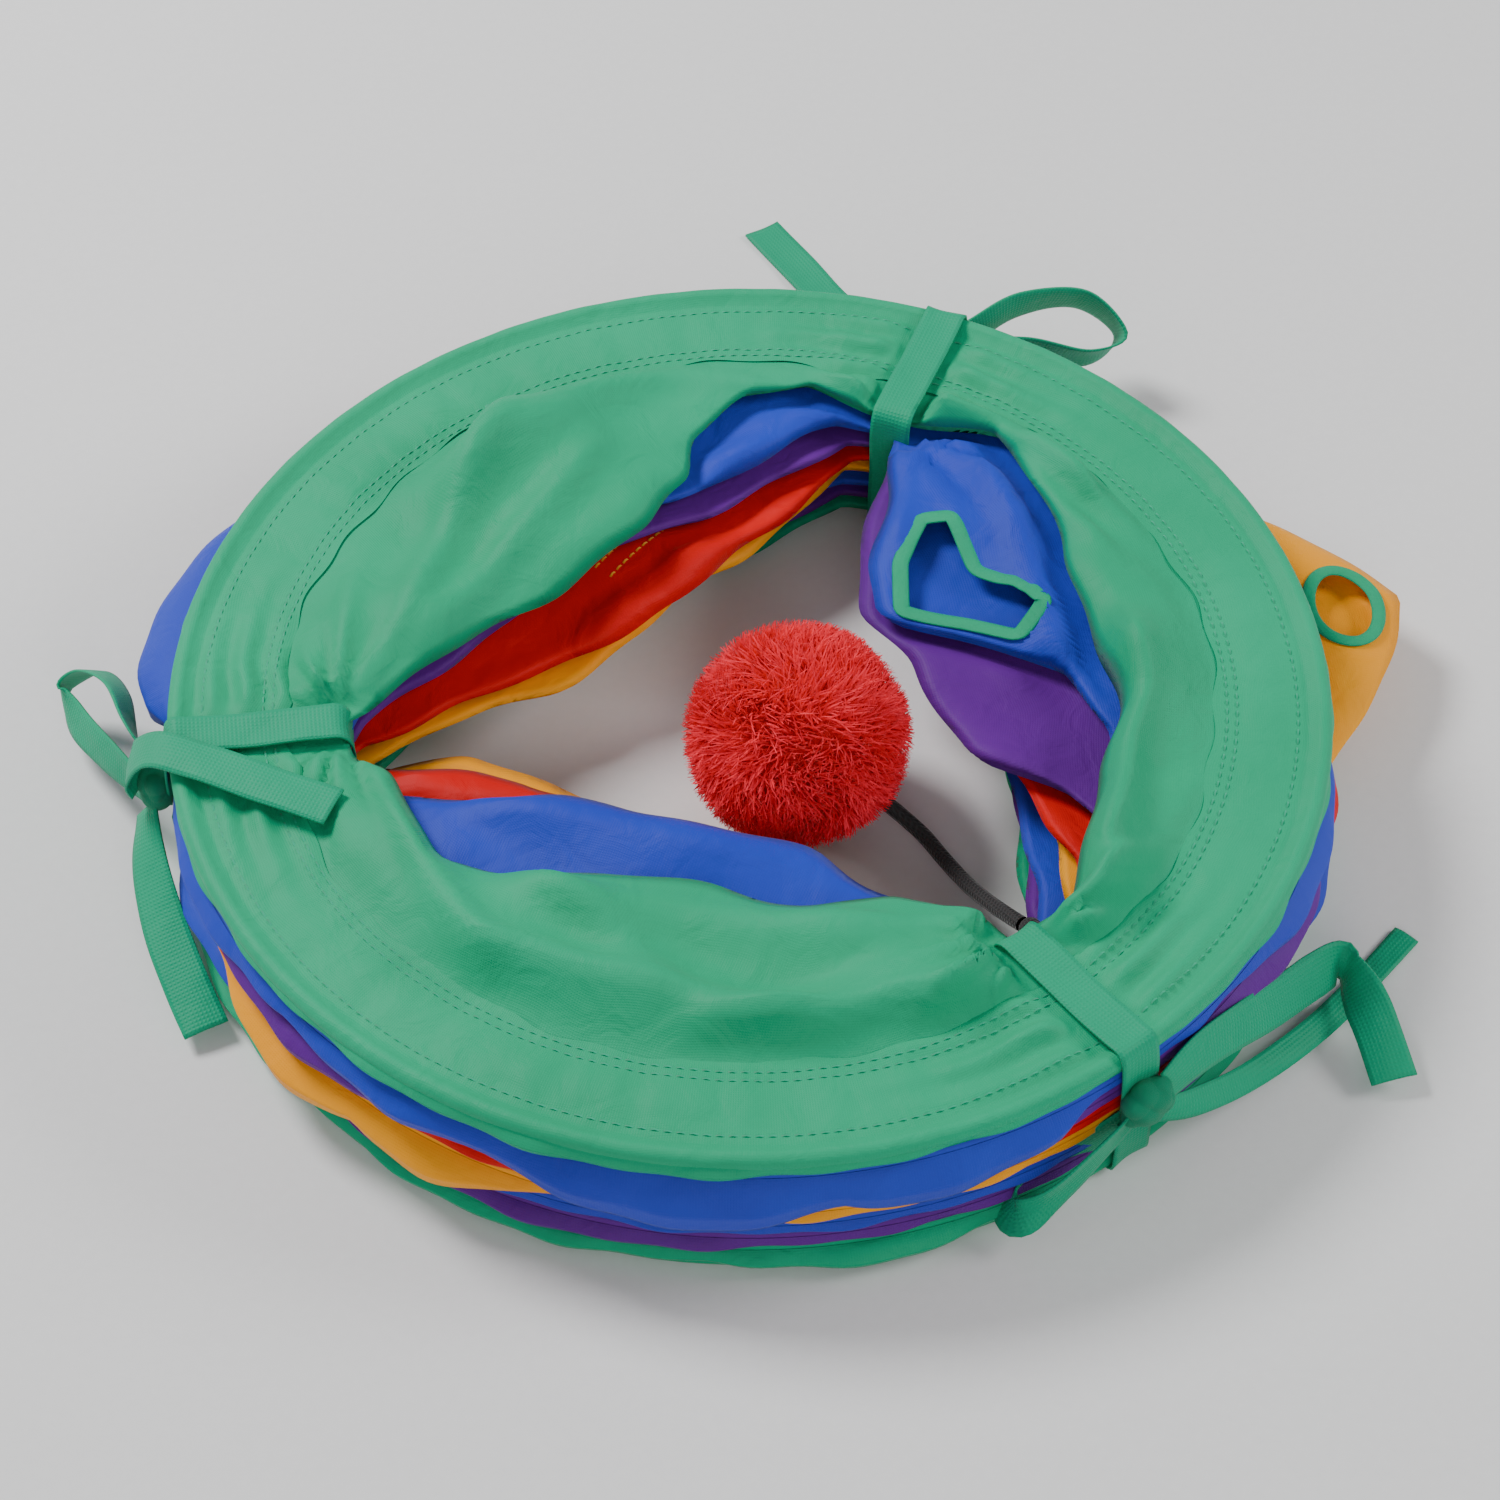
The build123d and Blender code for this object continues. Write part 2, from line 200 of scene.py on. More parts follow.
# %% How far in each fold reaches
# A lobe's inner edge runs from tie to tie. Each list gives its corners: a place along the lobe, and how far the
# edge stands from the axis there, in mm. The panels not listed are wholly covered and share one line.
LOBE_HALF, LOBE_BASE = 78.0, 45.0
EDGES = {
    "far": {
        8: [(-78, 60), (-55, 72), (-36, 70), (-28, 58), (-10, 50), (78, 46)],
        7: [(-78, 54), (-30, 58), (0, 62), (78, 47)],
        6: [(-78, 52), (-30, 52), (0, 58), (78, 47)],
        5: [(-78, 52), (-50, 46), (-10, 38), (25, 40), (78, 48)],
        4: [(-78, 52), (0, 39), (25, 38), (78, 47)],
    },
    "near": {
        8: [(-78, 52), (-62, 52), (-42, 72), (0, 60), (35, 52), (50, 43), (78, 43)],
        7: [(-78, 56), (-50, 52), (-15, 40), (30, 36), (78, 46)],
        5: [(-78, 45), (-40, 34), (20, 42), (78, 47)],
        4: [(-78, 42), (-55, 30), (10, 32), (78, 46)],
    },
    "right": {
        8: [(-78, 52), (-50, 66), (-20, 78), (30, 76), (78, 66)],
        7: [(-78, 60), (-20, 78), (0, 68), (10, 51), (20, 31), (34, 33), (55, 39), (78, 44)],
        6: [(-78, 60), (-50, 72), (-30, 63), (-22, 46), (8, 37), (24, 28), (40, 31), (78, 44)],
        5: [(-78, 58), (-50, 64), (-20, 53), (78, 50)],
        4: [(-78, 56), (-40, 62), (0, 58), (78, 50)],
    },
}
COVERED = [(-78, 52), (0, 58), (78, 52)]


def smoothstep(a, b, x):
    t = np.clip((x - a) / (b - a), 0, 1)
    return t * t * (3 - 2 * t)


def edge_line(lobe, k):
    """Inner edge of panel k in a lobe: places along the lobe, and the distance from the axis at each. The corners
    are rounded off, and a small ripple is added, as thin cloth never folds dead straight."""
    points = EDGES[lobe].get(k, COVERED)
    along = np.linspace(-LOBE_HALF, LOBE_HALF, 157)
    line = np.interp(along, *zip(*points))
    soft = np.convolve(np.pad(line, 4, mode="edge"), np.hanning(11)[1:-1] / np.hanning(11).sum(), mode="valid")
    seed = k * 1.7 + LOBES[lobe]
    soft += 0.9 * np.sin(along / 9 + seed) + 0.6 * np.sin(along / 4.3 + 2 * seed)
    meet = smoothstep(LOBE_HALF - 9, LOBE_HALF, np.abs(along))
    return along, soft * (1 - meet) + LOBE_BASE * meet


LINES = {(lobe, k): edge_line(lobe, k) for lobe in LOBES for k in range(1, 9)}


def edge_at(lobe, k, along):
    return np.interp(along, *LINES[lobe, k])


# %% How far out each panel bulges between its hoops
# Azimuth, half width in degrees, reach from the axis and drop below its level, in mm
BULGES = {
    8: [(250, 40, 128.4, 1.0)],
    7: [(168, 26, 139.0, 11.0), (205, 26, 129.6, 3.0), (264, 30, 132.0, 9.5), (287, 24, 131.0, 7.0),
        (236, 22, 130.0, 3.5), (338, 18, 131.0, 5.0)],
    6: [(332, 22, 131.5, 4.0), (222, 22, 130.0, 3.0), (175, 20, 131.0, 4.0)],
    5: [(20, 20, 131.0, 2.0), (350, 14, 130.0, 3.0), (280, 20, 127.6, 0.0)],
    4: [(16.5, 21, 158.0, 3.0), (222, 16, 133.0, 5.0), (238, 14, 132.0, 5.0), (115, 18, 141.0, 0.0)],
    3: [(345, 20, 131.0, 2.0), (200, 20, 130.0, 1.0)],
    2: [(250, 30, 129.0, 1.0), (110, 20, 130.0, 1.0)],
    1: [(246, 36, 129.5, 1.0), (281, 22, 130.5, 1.2), (320, 20, 129.0, 1.0), (212, 20, 129.5, 1.0)],
}
BULGE_LEAST = 127.4  # where the cloth has no bulge to speak of
POINTED = 150.0  # a bulge that reaches further than this is a corner, not a round


def bulge(k, azimuth):
    """Reach and drop of a panel's bulge at every azimuth."""
    reach = np.full_like(azimuth, BULGE_LEAST)
    drop = np.zeros_like(azimuth)
    for centre, half, far, down in BULGES[k]:
        off = np.abs(wrap_angle(azimuth - centre)) / half
        shape = (1 - off).clip(0) if far > POINTED else np.cos(np.clip(off, 0, 1) * pi / 2) ** 2
        reach = np.maximum(reach, BULGE_LEAST + (far - BULGE_LEAST) * shape)
        drop = np.maximum(drop, down * shape)
    reach += 0.35 * np.sin(np.radians(azimuth) * 23 + k) + 0.3 * np.sin(np.radians(azimuth) * 41 + 3 * k)
    squeeze = smoothstep(3, 9, tie_distance(azimuth))
    return BULGE_LEAST - 0.5 + (reach - BULGE_LEAST + 0.5) * squeeze, drop * squeeze


# %% [markdown]
# ## Wrinkles
# Thin polyester wrinkles in three ways here. Ridges run out of each tie, where the cloth is drawn together. Long
# soft folds cross the lobes. And a few single folds stand up by themselves. Each is a height in mm that is added
# to the top layer only.

# %% Wrinkles
def swell(x, y):
    """Height that all layers share, in mm, at a place in mm."""
    r = np.hypot(x, y)
    inside = 1 - smoothstep(86, 108, r)
    wave = 1.5 + 1.6 * np.sin(x / 19 + 1.0) * np.cos(y / 23)
    wave = wave + 1.0 * np.sin((x + y) / 13) + 0.6 * np.sin((x - 2 * y) / 11)
    away = np.min([np.hypot(x - 90 * cos(radians(a)), y - 90 * sin(radians(a))) for a in TIES.values()], axis=0)
    return np.maximum(wave, -1.4) * inside * smoothstep(6, 30, away)


def gathers(x, y, seed, width=34.0):
    """Ridges that run out of the ties, from 0 to 1."""
    total = np.zeros_like(x)
    for i, azimuth in enumerate(TIES.values()):
        dx, dy = x - 91 * cos(radians(azimuth)), y - 91 * sin(radians(azimuth))
        s, turn = np.hypot(dx, dy), np.arctan2(dy, dx)
        ridge = 0.5 + 0.34 * np.sin(15 * turn + seed + 2 * i) + 0.16 * np.sin(29 * turn + 2.3 * seed + i)
        total += ridge * smoothstep(0, 12, s) * np.exp(-((s / width) ** 1.3))
    return total


def crumple(x, y, seed):
    """Long soft folds across a lobe, from 0 to 1."""
    a = np.sin(x / 17 + 0.6 * np.sin(y / 21 + seed) * 2 + seed)
    b = np.sin(y / 13 + 1.1 * np.sin(x / 29 - seed) + 2 * seed)
    c = np.sin((x + 1.6 * y) / 9 + seed * 3)
    return 0.5 + 0.22 * a + 0.2 * b + 0.08 * c


def ridge(x, y, start, end, width, height):
    """A long fold that stands up from one place to another, in mm."""
    (x0, y0), (x1, y1) = start, end
    span = hypot(x1 - x0, y1 - y0)
    ux, uy = (x1 - x0) / span, (y1 - y0) / span
    s = (x - x0) * ux + (y - y0) * uy
    off = np.abs(-(x - x0) * uy + (y - y0) * ux)
    ends = smoothstep(0, 0.25 * span, s) * (1 - smoothstep(0.8 * span, span, s))
    return height * ends * np.exp(-((off / width) ** 2))


# Single folds of each panel: from and to, half width and height, in mm
FOLDS = {
    8: [((-12, 118), (-74, 48), 8, 5.0), ((10, 110), (-60, 84), 6, 4.0), ((28, -98), (-66, -74), 5, 5.5),
        ((58, -84), (-20, -98), 4.5, 5.0), ((40, -74), (-60, -60), 6, 3.5), ((70, -80), (86, 24), 7, 9.0),
        ((66, -84), (104, -20), 5, 5.0), ((50, 94), (98, 36), 5, 5.0), ((44, 84), (84, 34), 3, 3.0),
        ((-80, 8), (-52, 96), 5, 5.0), ((-78, 2), (-30, 74), 4, 4.0), ((-88, -16), (-10, -88), 5, 5.0),
        ((-84, -26), (-50, -88), 4, 4.0), ((60, 96), (80, 52), 3, 4.0)],
    7: [((52, 84), (77, -14), 5.0, 5.5), ((22, 84), (-8, 66), 4, 3.0), ((-78, -28), (10, -48), 5, 2.5),
        ((34, 80), (32, 40), 5, 2.5)],
    6: [((40, 30), (66, 8), 6, 2.5)],
    5: [((-60, 18), (6, 60), 7, 3.0), ((-72, 6), (-20, 40), 4, 2.5)],
    4: [((-74, -14), (-20, -40), 4, 2.0)],
}


# %% [markdown]
# ## The path of one column
# The path has ten corners: the seam on the upper hoop, the bulge outside, the gap between the hoops, the lobe's
# edge, two pleats, and the seam on the lower hoop. What the way in and out doesn't use of the 180 mm is laid in
# the pleats. Simulated cloth is the other way to make it. In the one try made, stacked layers sank through each
# other, so the path is worked out here.

# %% The path of the cloth, column by column
COLUMNS = 384
TOP = len(PANELS)
SEAM = 1.7  # from the wire's centre to the stitches on either side, in mm
LAYERS_GAP = 0.68  # from one layer of a pleat to the next
PLEAT_STEP = 1.2  # how much shorter each pleat is than the one above
LEAST_SPARE = 4.0  # cloth that is left for the pleats at least
LOBE_TURN = 60.0  # half the angle of a lobe
COLUMN_EASE = 1.7
SAMPLES = [10, 5, 3, 26, 5, 5, 5, 5, 12]  # points on each stretch of the path
BULGE_RUN, TOP_RUN, LAST_RUN = 0, 3, 8


def ease(t):
    """Draws the columns together towards a lobe's ends, where the cloth gathers."""
    steep = t * COLUMN_EASE
    return steep / (1 + np.abs(steep) ** 4) ** 0.25


def lobe_edge(k, azimuth):
    """Where each column of panel k turns back, in mm."""
    x, y = np.zeros(COLUMNS), np.zeros(COLUMNS)
    for lobe, centre in LOBES.items():
        off = wrap_angle(azimuth - centre)
        here = np.abs(off) <= LOBE_TURN + 0.001
        along = LOBE_HALF * ease(off[here] / LOBE_TURN) / ease(1.0)
        reach = edge_at(lobe, k, along)
        c, s = cos(radians(centre)), sin(radians(centre))
        x[here], y[here] = reach * c - along * s, reach * s + along * c
    return x, y


def path_rows(k, reach, drop, way):
    """Distance inwards from the seam and height of every sample, one row each, and the stretch it is on."""
    out = reach - (HOOP_RADIUS * 1000 + SEAM)
    low_z, high_z = LEVELS[k - 1] * 1000, LEVELS[k] * 1000
    spare = np.maximum(PANEL_LENGTH * 1000 - 2 * way - 2 * out - 2 * SEAM, LEAST_SPARE)
    back = np.minimum(spare / 4, way - 4)
    top, mid = high_z - 0.45, (low_z + high_z) / 2
    corners = [(-2 * SEAM, high_z), (-(out + 2 * SEAM), mid + 0.6 - drop * 0.55),
               (-(out + 2 * SEAM) + 0.6, mid - 0.6 - drop), (-2 * SEAM, mid), (way, top),
               (way - back, top - LAYERS_GAP), (way - PLEAT_STEP, top - 2 * LAYERS_GAP),
               (way - back - PLEAT_STEP, top - 3 * LAYERS_GAP), (way - 2 * PLEAT_STEP, top - 4 * LAYERS_GAP),
               (0, low_z)]
    corners = [[np.broadcast_to(v, COLUMNS) for v in corner] for corner in corners]
    d_rows, z_rows, runs = [], [], []
    for run, count in enumerate(SAMPLES):
        (d0, z0), (d1, z1) = corners[run], corners[run + 1]
        for f in np.arange(count) / count:
            d, z = d0 + (d1 - d0) * f, z0 + (z1 - z0) * f
            if run == BULGE_RUN:
                z = z + out * 0.10 * sin(pi * f)
            elif run == TOP_RUN:  # in through the gap between the hoops, then up to the top of the slot
                z = mid + (z1 - mid) * smoothstep(3.5, 12, d)
            elif run == LAST_RUN:
                z = low_z + (z0 - low_z) * smoothstep(0, 9, d)
            d_rows.append(d)
            z_rows.append(z)
            runs.append(run)
    d_rows.append(corners[-1][0])
    z_rows.append(corners[-1][1])
    return np.array(d_rows), np.array(z_rows), np.array([*runs, LAST_RUN])[:, None]


def uncovered(k, x, y):
    """From 0 to 1: where nothing lies on panel k, so that it is free to wrinkle."""
    if k == TOP:  # the hem lies on its outer part
        return 1 - smoothstep(93, 104, np.hypot(x, y))
    free = np.full_like(x, 99.0)
    for lobe, centre in LOBES.items():
        c, s = cos(radians(centre)), sin(radians(centre))
        here = np.abs(wrap_angle(np.degrees(np.arctan2(y, x)) - centre)) <= LOBE_TURN
        rho, along = x * c + y * s, -x * s + y * c
        for upper in range(k + 1, TOP + 1):
            free = np.where(here, np.minimum(free, edge_at(lobe, upper, along) - rho), free)
    return smoothstep(0.5, 9, free)


def wrinkles(k, x, y):
    """Height of all the wrinkles of panel k, in mm."""
    crumpled = 7.0 if k == TOP else 3.4
    rise = 6.5 * gathers(x, y, k) + crumpled * (crumple(x, y, k * 2.1) - 0.25).clip(0)
    for start, end, width, height in FOLDS.get(k, []):
        rise = rise + ridge(x, y, start, end, width, height)
    for a in TIES.values():  # flat under the tie tapes
        across = np.abs(-x * sin(radians(a)) + y * cos(radians(a)))
        ahead = x * cos(radians(a)) + y * sin(radians(a)) > 82
        rise = rise * np.where(ahead, smoothstep(5, 11, across), 1)
    return rise


def panel_surface(k):
    """Vertices in mm of the folded panel, one row per sample of the path, and how far along the cloth they are."""
    azimuth = np.arange(COLUMNS) * 360.0 / COLUMNS
    outwards = np.cos(np.radians(azimuth)), np.sin(np.radians(azimuth))
    start = [(HOOP_RADIUS * 1000 - SEAM) * v for v in outwards]
    edge = lobe_edge(k, azimuth)
    way = np.hypot(edge[0] - start[0], edge[1] - start[1])
    reach, drop = bulge(k, azimuth)
    d, z, runs = path_rows(k, reach, drop, way)
    outside = d < 0
    x, y = (np.where(outside, s - d * o, s + d * ((e - s) / way)) for s, o, e in zip(start, outwards, edge))
    own = wrinkles(k, x, y) * uncovered(k, x, y) * (runs == TOP_RUN) * (d > 0)
    z = z + own * (0.35 + 0.65 * np.clip((way[None, :] - d) / 6, 0, 1)) + np.where(outside, 0, swell(x, y))
    steps = np.sqrt(np.diff(x, axis=0) ** 2 + np.diff(y, axis=0) ** 2 + np.diff(z, axis=0) ** 2)
    length = np.vstack([np.zeros(COLUMNS), np.cumsum(steps, axis=0)])
    return np.stack([x, y, z], -1), 1 - length / length[-1], length[-1]


# %% A grid laid on a surface
def grid_piece(name, surface, along):
    """A grid primitive whose points are moved to a surface of rows and columns, closed round the axis. It keeps
    each point's place along the cloth, and its row for the cuts."""
    rows, columns = surface.shape[:2]
    obj = start_piece(name, bpy.ops.mesh.primitive_grid_add, x_subdivisions=columns, y_subdivisions=rows - 1,
                      size=1.0, calc_uvs=True)
    flat = positions(obj)
    column = np.rint((flat[:, 0] + 0.5) * columns).astype(int)
    row = np.rint((flat[:, 1] + 0.5) * (rows - 1)).astype(int)
    place_vertices(obj, surface[row, column % columns] * MM)
    cloth_v = along[row, column % columns]
    set_uv(obj, column / columns * HOOP_LENGTH, cloth_v * PANEL_LENGTH)
    keep_values(obj, "cloth_v", cloth_v)
    keep_values(obj, "path_row", row, "INT")
    in_edit_mode(obj, bpy.ops.mesh.remove_doubles, threshold=1e-6)
    bpy.ops.object.shade_smooth()
    return obj


panels = {}
for k, colour in enumerate(PANELS, 1):
    surface, along, lengths = panel_surface(k)
    obj = grid_piece(f"{colour}_cloth_{k}", surface, along)
    panels[k] = obj
    error = np.abs(lengths / (PANEL_LENGTH * 1000) - 1)
    print(obj.name, "cloth length mm", round(float(lengths.min())), "to", round(float(lengths.max())),
          "columns within 3 %:", f"{100 * (error < 0.03).mean():.0f} %",
          "z", round(float(surface[..., 2].min()), 1), round(float(surface[..., 2].max()), 1))

# %% [markdown]
# ## Cuts in the cloth
# The blue panel has a peephole for the cat's paw, and the yellow one has another. On the real tunnel a round hole
# is cut and its edge is bound with folded tape. Here the faces inside the outline are deleted, and a flattened
# torus that follows the outline covers the cut edge.

# %% Peepholes
# A hole that the drape has pulled out of shape: a corner at the inner side, and a fold that dents it
PEEPHOLE = [(34, 25), (34, 38), (39, 50), (46, 50), (51, 36), (60, 31), (66, 23), (60, 17), (48, 21)]
# The second hole, seen edge on in the corner of cloth outside the hoops
FLAP_MIDDLE, FLAP_WIDE, FLAP_LONG = (136.5, 38.5), 8.2, 11.5
ROUND = np.radians(np.arange(0, 360, 15))
FLAP_HOLE = np.stack([FLAP_MIDDLE[0] + FLAP_WIDE * np.cos(ROUND), FLAP_MIDDLE[1] + FLAP_LONG * np.sin(ROUND)], -1)


def closed_line(points, count):
    """A closed line of straight stretches between points in mm, at equal steps, with its corners a little eased."""
    p = np.array(points, float)
    q = np.vstack([p, p[:1]])
    t = np.concatenate([[0], np.cumsum(np.hypot(*np.diff(q, axis=0).T))])
    at = np.linspace(0, t[-1], count, endpoint=False)
    line = np.stack([np.interp(at, t, q[:, i]) for i in (0, 1)], -1)
    for _ in range(3):
        line = (np.roll(line, 1, 0) + 2 * line + np.roll(line, -1, 0)) / 4
    return line


def inside(points, x, y):
    """Which places lie inside a closed outline."""
    hit = np.zeros(len(x), bool)
    for (x0, y0), (x1, y1) in zip(points, np.roll(points, -1, 0)):
        cross = (y0 > y) != (y1 > y)
        with np.errstate(divide="ignore", invalid="ignore"):
            hit ^= cross & (x < (x1 - x0) * (y - y0) / (y1 - y0) + x0)
    return hit


def drop_onto(obj, x, y):
    """Height in metres of the highest cloth of a piece below a place in mm."""
    ok, spot, _, _ = obj.ray_cast(Vector((x * MM, y * MM, 0.3)), Vector((0, 0, -1)))
    return spot.z if ok else None


def heights(obj, line):
    z = [drop_onto(obj, x, y) for x, y in line]
    known = [i for i, v in enumerate(z) if v is not None]
    return np.interp(range(len(z)), known, [z[i] for i in known], period=len(z))


# First and last row of the layer on top, and of the bulge's upper side
TOP_LAYER = (sum(SAMPLES[:TOP_RUN]), sum(SAMPLES[: TOP_RUN + 1]))
BULGE_TOP = (0, SAMPLES[BULGE_RUN])
RING_STEPS = 120
RING_THICKNESS = 0.25


def bound_hole(obj, outline, name, rows, width=3.8, thick=0.8):
    """Cuts the hole in the layer on top, and binds its edge."""
    line = closed_line(outline, RING_STEPS)
    z = heights(obj, line)
    z = (np.roll(z, 1) + z + np.roll(z, -1)) / 3
    mesh = bmesh.new()
    mesh.from_mesh(obj.data)
    path_row = mesh.verts.layers.int["path_row"]
    centres = np.array([f.calc_center_median() for f in mesh.faces])
    reach = inside(line, centres[:, 0] / MM, centres[:, 1] / MM)
    doomed = [f for f, hit in zip(mesh.faces, reach)
              if hit and all(rows[0] <= v[path_row] <= rows[1] for v in f.verts)]
    bmesh.ops.delete(mesh, geom=doomed, context="FACES")
    mesh.to_mesh(obj.data)
    mesh.free()
    ring = start_piece(name, bpy.ops.mesh.primitive_torus_add, major_segments=RING_STEPS, minor_segments=10,
                       major_radius=1.0, minor_radius=RING_THICKNESS)
    co = positions(ring)
    turn = np.arctan2(co[:, 1], co[:, 0]) % (2 * pi)
    i = np.rint(turn / (2 * pi) * RING_STEPS).astype(int) % RING_STEPS
    across = (np.hypot(co[:, 0], co[:, 1]) - 1) / RING_THICKNESS
    up = co[:, 2] / RING_THICKNESS
    ahead = np.roll(line, -1, 0) - np.roll(line, 1, 0)
    ahead /= np.hypot(*ahead.T)[:, None]
    normal = np.stack([ahead[:, 1], -ahead[:, 0]], -1)
    if (normal * (line - line.mean(0))).sum() < 0:
        normal = -normal
    out = np.empty_like(co)
    out[:, :2] = (line[i] + normal[i] * (across * width / 2)[:, None]) * MM
    out[:, 2] = z[i] + (0.35 + up * thick / 2) * MM
    place_vertices(ring, out)
    finish_closed(ring)
    print(name, "faces cut", len(doomed), "edge mm", round(float(np.hypot(*np.diff(line, axis=0).T).sum())))
    return ring


peephole_edge = bound_hole(panels[7], PEEPHOLE, "peephole_tape", TOP_LAYER)
flap_edge = bound_hole(panels[4], FLAP_HOLE, "flap_hole_tape", BULGE_TOP, width=3.2)

# %% [markdown]
# ## Hems
# At each end of the tunnel the fabric is folded back over the last hoop and sewn down in rows. The wire shows
# as a ridge at the rim. The hem is one strip, swept round: its inner edge, the ridge, and back underneath.
# Its edge puckers where the sewing draws it in, most of all beside the ties.

# %% Hem surface
HEM_COLUMNS = 512
UPPER = LEVELS[-1] * 1000
LOWER = LEVELS[0] * 1000
HEM_INNER, HEM_TOP_EDGE, HEM_UNDER_EDGE = 102.0, 122.0, 121.5  # from the axis, in mm
HEM_ROLL = 2.15  # radius of the cloth's turn round the wire


def hem_profile(a, up):
    """Distance from the axis and height above the hoop of the hem's section at one azimuth, in mm."""
    tie = tie_distance(a)
    bunched = np.exp(-((tie / 15) ** 2)) * smoothstep(2.5, 6.5, tie)
    turn = np.radians(a)
    wave = np.sin(turn * 47) + 0.6 * np.sin(turn * 83 + 1) + 0.8 * np.sin(turn * 19 + 2)
    inner = HEM_INNER + 0.6 * np.sin(turn * 31) + 0.8 * np.sin(turn * 9) - 2.0 * bunched
    r, z = [], []
    for f in np.linspace(0, 1, 25):  # top layer, from the inner edge out
        r.append(inner + (HEM_TOP_EDGE - inner) * f)
        pleat = 1.7 * bunched * (1 + np.sin(2 * pi * 2.7 * f + 0.9 * np.sin(turn * 8))) * sin(pi * f) ** 0.5
        ripple = 0.17 * wave * sin(pi * f) * smoothstep(2.5, 5, tie)
        sag = 0.8 * np.sin(turn * 3 + 1.2) * sin(pi * f) ** 2
        z.append(0.1 + 0.2 * sin(pi * f) ** 2 + ripple + pleat + np.maximum(sag, -0.1))
    for f in np.linspace(0, 1, 15)[1:]:  # over the wire
        over = radians(150 - 310 * f)
        r.append(HOOP_RADIUS * 1000 + HEM_ROLL * cos(over) + 0 * a)
        z.append(HEM_ROLL * sin(over) + 0.05 * wave)
    for f in np.linspace(0, 1, 9)[1:]:  # bottom layer, back in
        r.append(HEM_UNDER_EDGE + (inner + 0.4 - HEM_UNDER_EDGE) * f)
        z.append(-0.2 * (1 - f) + 0.05 * f + 0.0 * a)
    return np.array(r), np.array(z) * (1 if up else -1)


def hem_piece(name, up):
    azimuth = np.arange(HEM_COLUMNS) * 360.0 / HEM_COLUMNS
    r, z = hem_profile(azimuth, up)
    x, y = r * np.cos(np.radians(azimuth)), r * np.sin(np.radians(azimuth))
    if up:
        z = z + UPPER + swell(x, y)
    else:
        z = np.maximum(z + LOWER, 0.05)
    surface = np.stack([x, y, z], -1)
    steps = np.sqrt((np.diff(surface, axis=0) ** 2).sum(-1))
    length = np.vstack([np.zeros(HEM_COLUMNS), np.cumsum(steps, axis=0)])
    obj = grid_piece(name, surface, length / (PANEL_LENGTH * 1000))
    if up:  # its rows run outwards, so its faces start out turned down
        in_edit_mode(obj, bpy.ops.mesh.flip_normals)
    print(name, "strip width mm", round(float(length[-1].mean()), 1))
    return obj


upper_hem = hem_piece("upper_hem_cloth", True)
lower_hem = hem_piece("lower_hem_cloth", False)

# %% [markdown]
# ## The ties
# Three tapes of the hem's own fabric hold the folded tunnel. Each goes round all the hoops and is tied in a bow
# on the outside. A tape bends easily over its flat side but not over its edge, so each one is built as a strip
# that follows a smooth line, with its own direction across the width at every place. Solidify makes it double,
# as a folded and sewn tape is.

# %% Ribbons
def smooth_line(points, count):
    """Catmull-Rom line through points, at equal steps."""
    p = np.array(points, float)
    q = np.vstack([2 * p[0] - p[1], p, 2 * p[-1] - p[-2]])
    made = []
    for a, b, c, d in zip(q, q[1:], q[2:], q[3:]):
        t = np.linspace(0, 1, 24, endpoint=False)[:, None]
        bend, twist = 2 * a - 5 * b + 4 * c - d, 3 * b - a - 3 * c + d
        made.append(0.5 * (2 * b + (c - a) * t + bend * t**2 + twist * t**3))
    line = np.vstack([*made, p[-1:]])
    run = np.concatenate([[0], np.cumsum(np.linalg.norm(np.diff(line[:, :3], axis=0), axis=1))])
    at = np.linspace(0, run[-1], count)
    return np.stack([np.interp(at, run, line[:, i]) for i in range(line.shape[1])], -1), run[-1]


TAPE_COLUMNS = 9  # points across the tape
TAPE_LEAST_HEIGHT = 0.35  # of its middle layer over the floor, in mm


def ribbon(name, points, width=10.0, thick=0.55):
    """points: place in mm and the direction across the tape, six numbers each."""
    line, length = smooth_line(points, max(24, len(points) * 10))
    middle, across = line[:, :3], line[:, 3:]
    ahead = np.gradient(middle, axis=0)
    across = across - ahead * (across * ahead).sum(1)[:, None] / (ahead**2).sum(1)[:, None]
    across /= np.linalg.norm(across, axis=1)[:, None]
    obj = start_piece(name, bpy.ops.mesh.primitive_grid_add, x_subdivisions=TAPE_COLUMNS - 1,
                      y_subdivisions=len(line) - 1, size=1.0, calc_uvs=True)
    flat = positions(obj)
    f = flat[:, 0]
    row = np.rint((flat[:, 1] + 0.5) * (len(line) - 1)).astype(int)
    face = np.cross(ahead, across)
    face /= np.linalg.norm(face, axis=1)[:, None]
    cup = 0.35 * np.cos(pi * f) + 0.12 * np.sin(row / 3.1 + 5 * f)
    co = middle[row] + across[row] * (f * width)[:, None] + face[row] * cup[:, None]
    co[:, 2] = np.maximum(co[:, 2], TAPE_LEAST_HEIGHT)
    place_vertices(obj, co * MM)
    set_uv(obj, f * width * MM, row / (len(line) - 1) * length * MM)
    only(obj)
    bpy.ops.object.modifier_add(type="SOLIDIFY")
    obj.modifiers[-1].thickness = thick * MM
    obj.modifiers[-1].offset = 0.0
    bpy.ops.object.modifier_apply(modifier=obj.modifiers[-1].name)
    finish_closed(obj)
    print(name, "length mm", round(length))
    return obj, length * MM


tapes = {}


def tape(name, points, *nodes_shown, width=10.0, squashed=False):
    tapes[name] = (*ribbon(name, points, width), width * MM, nodes_shown, squashed)


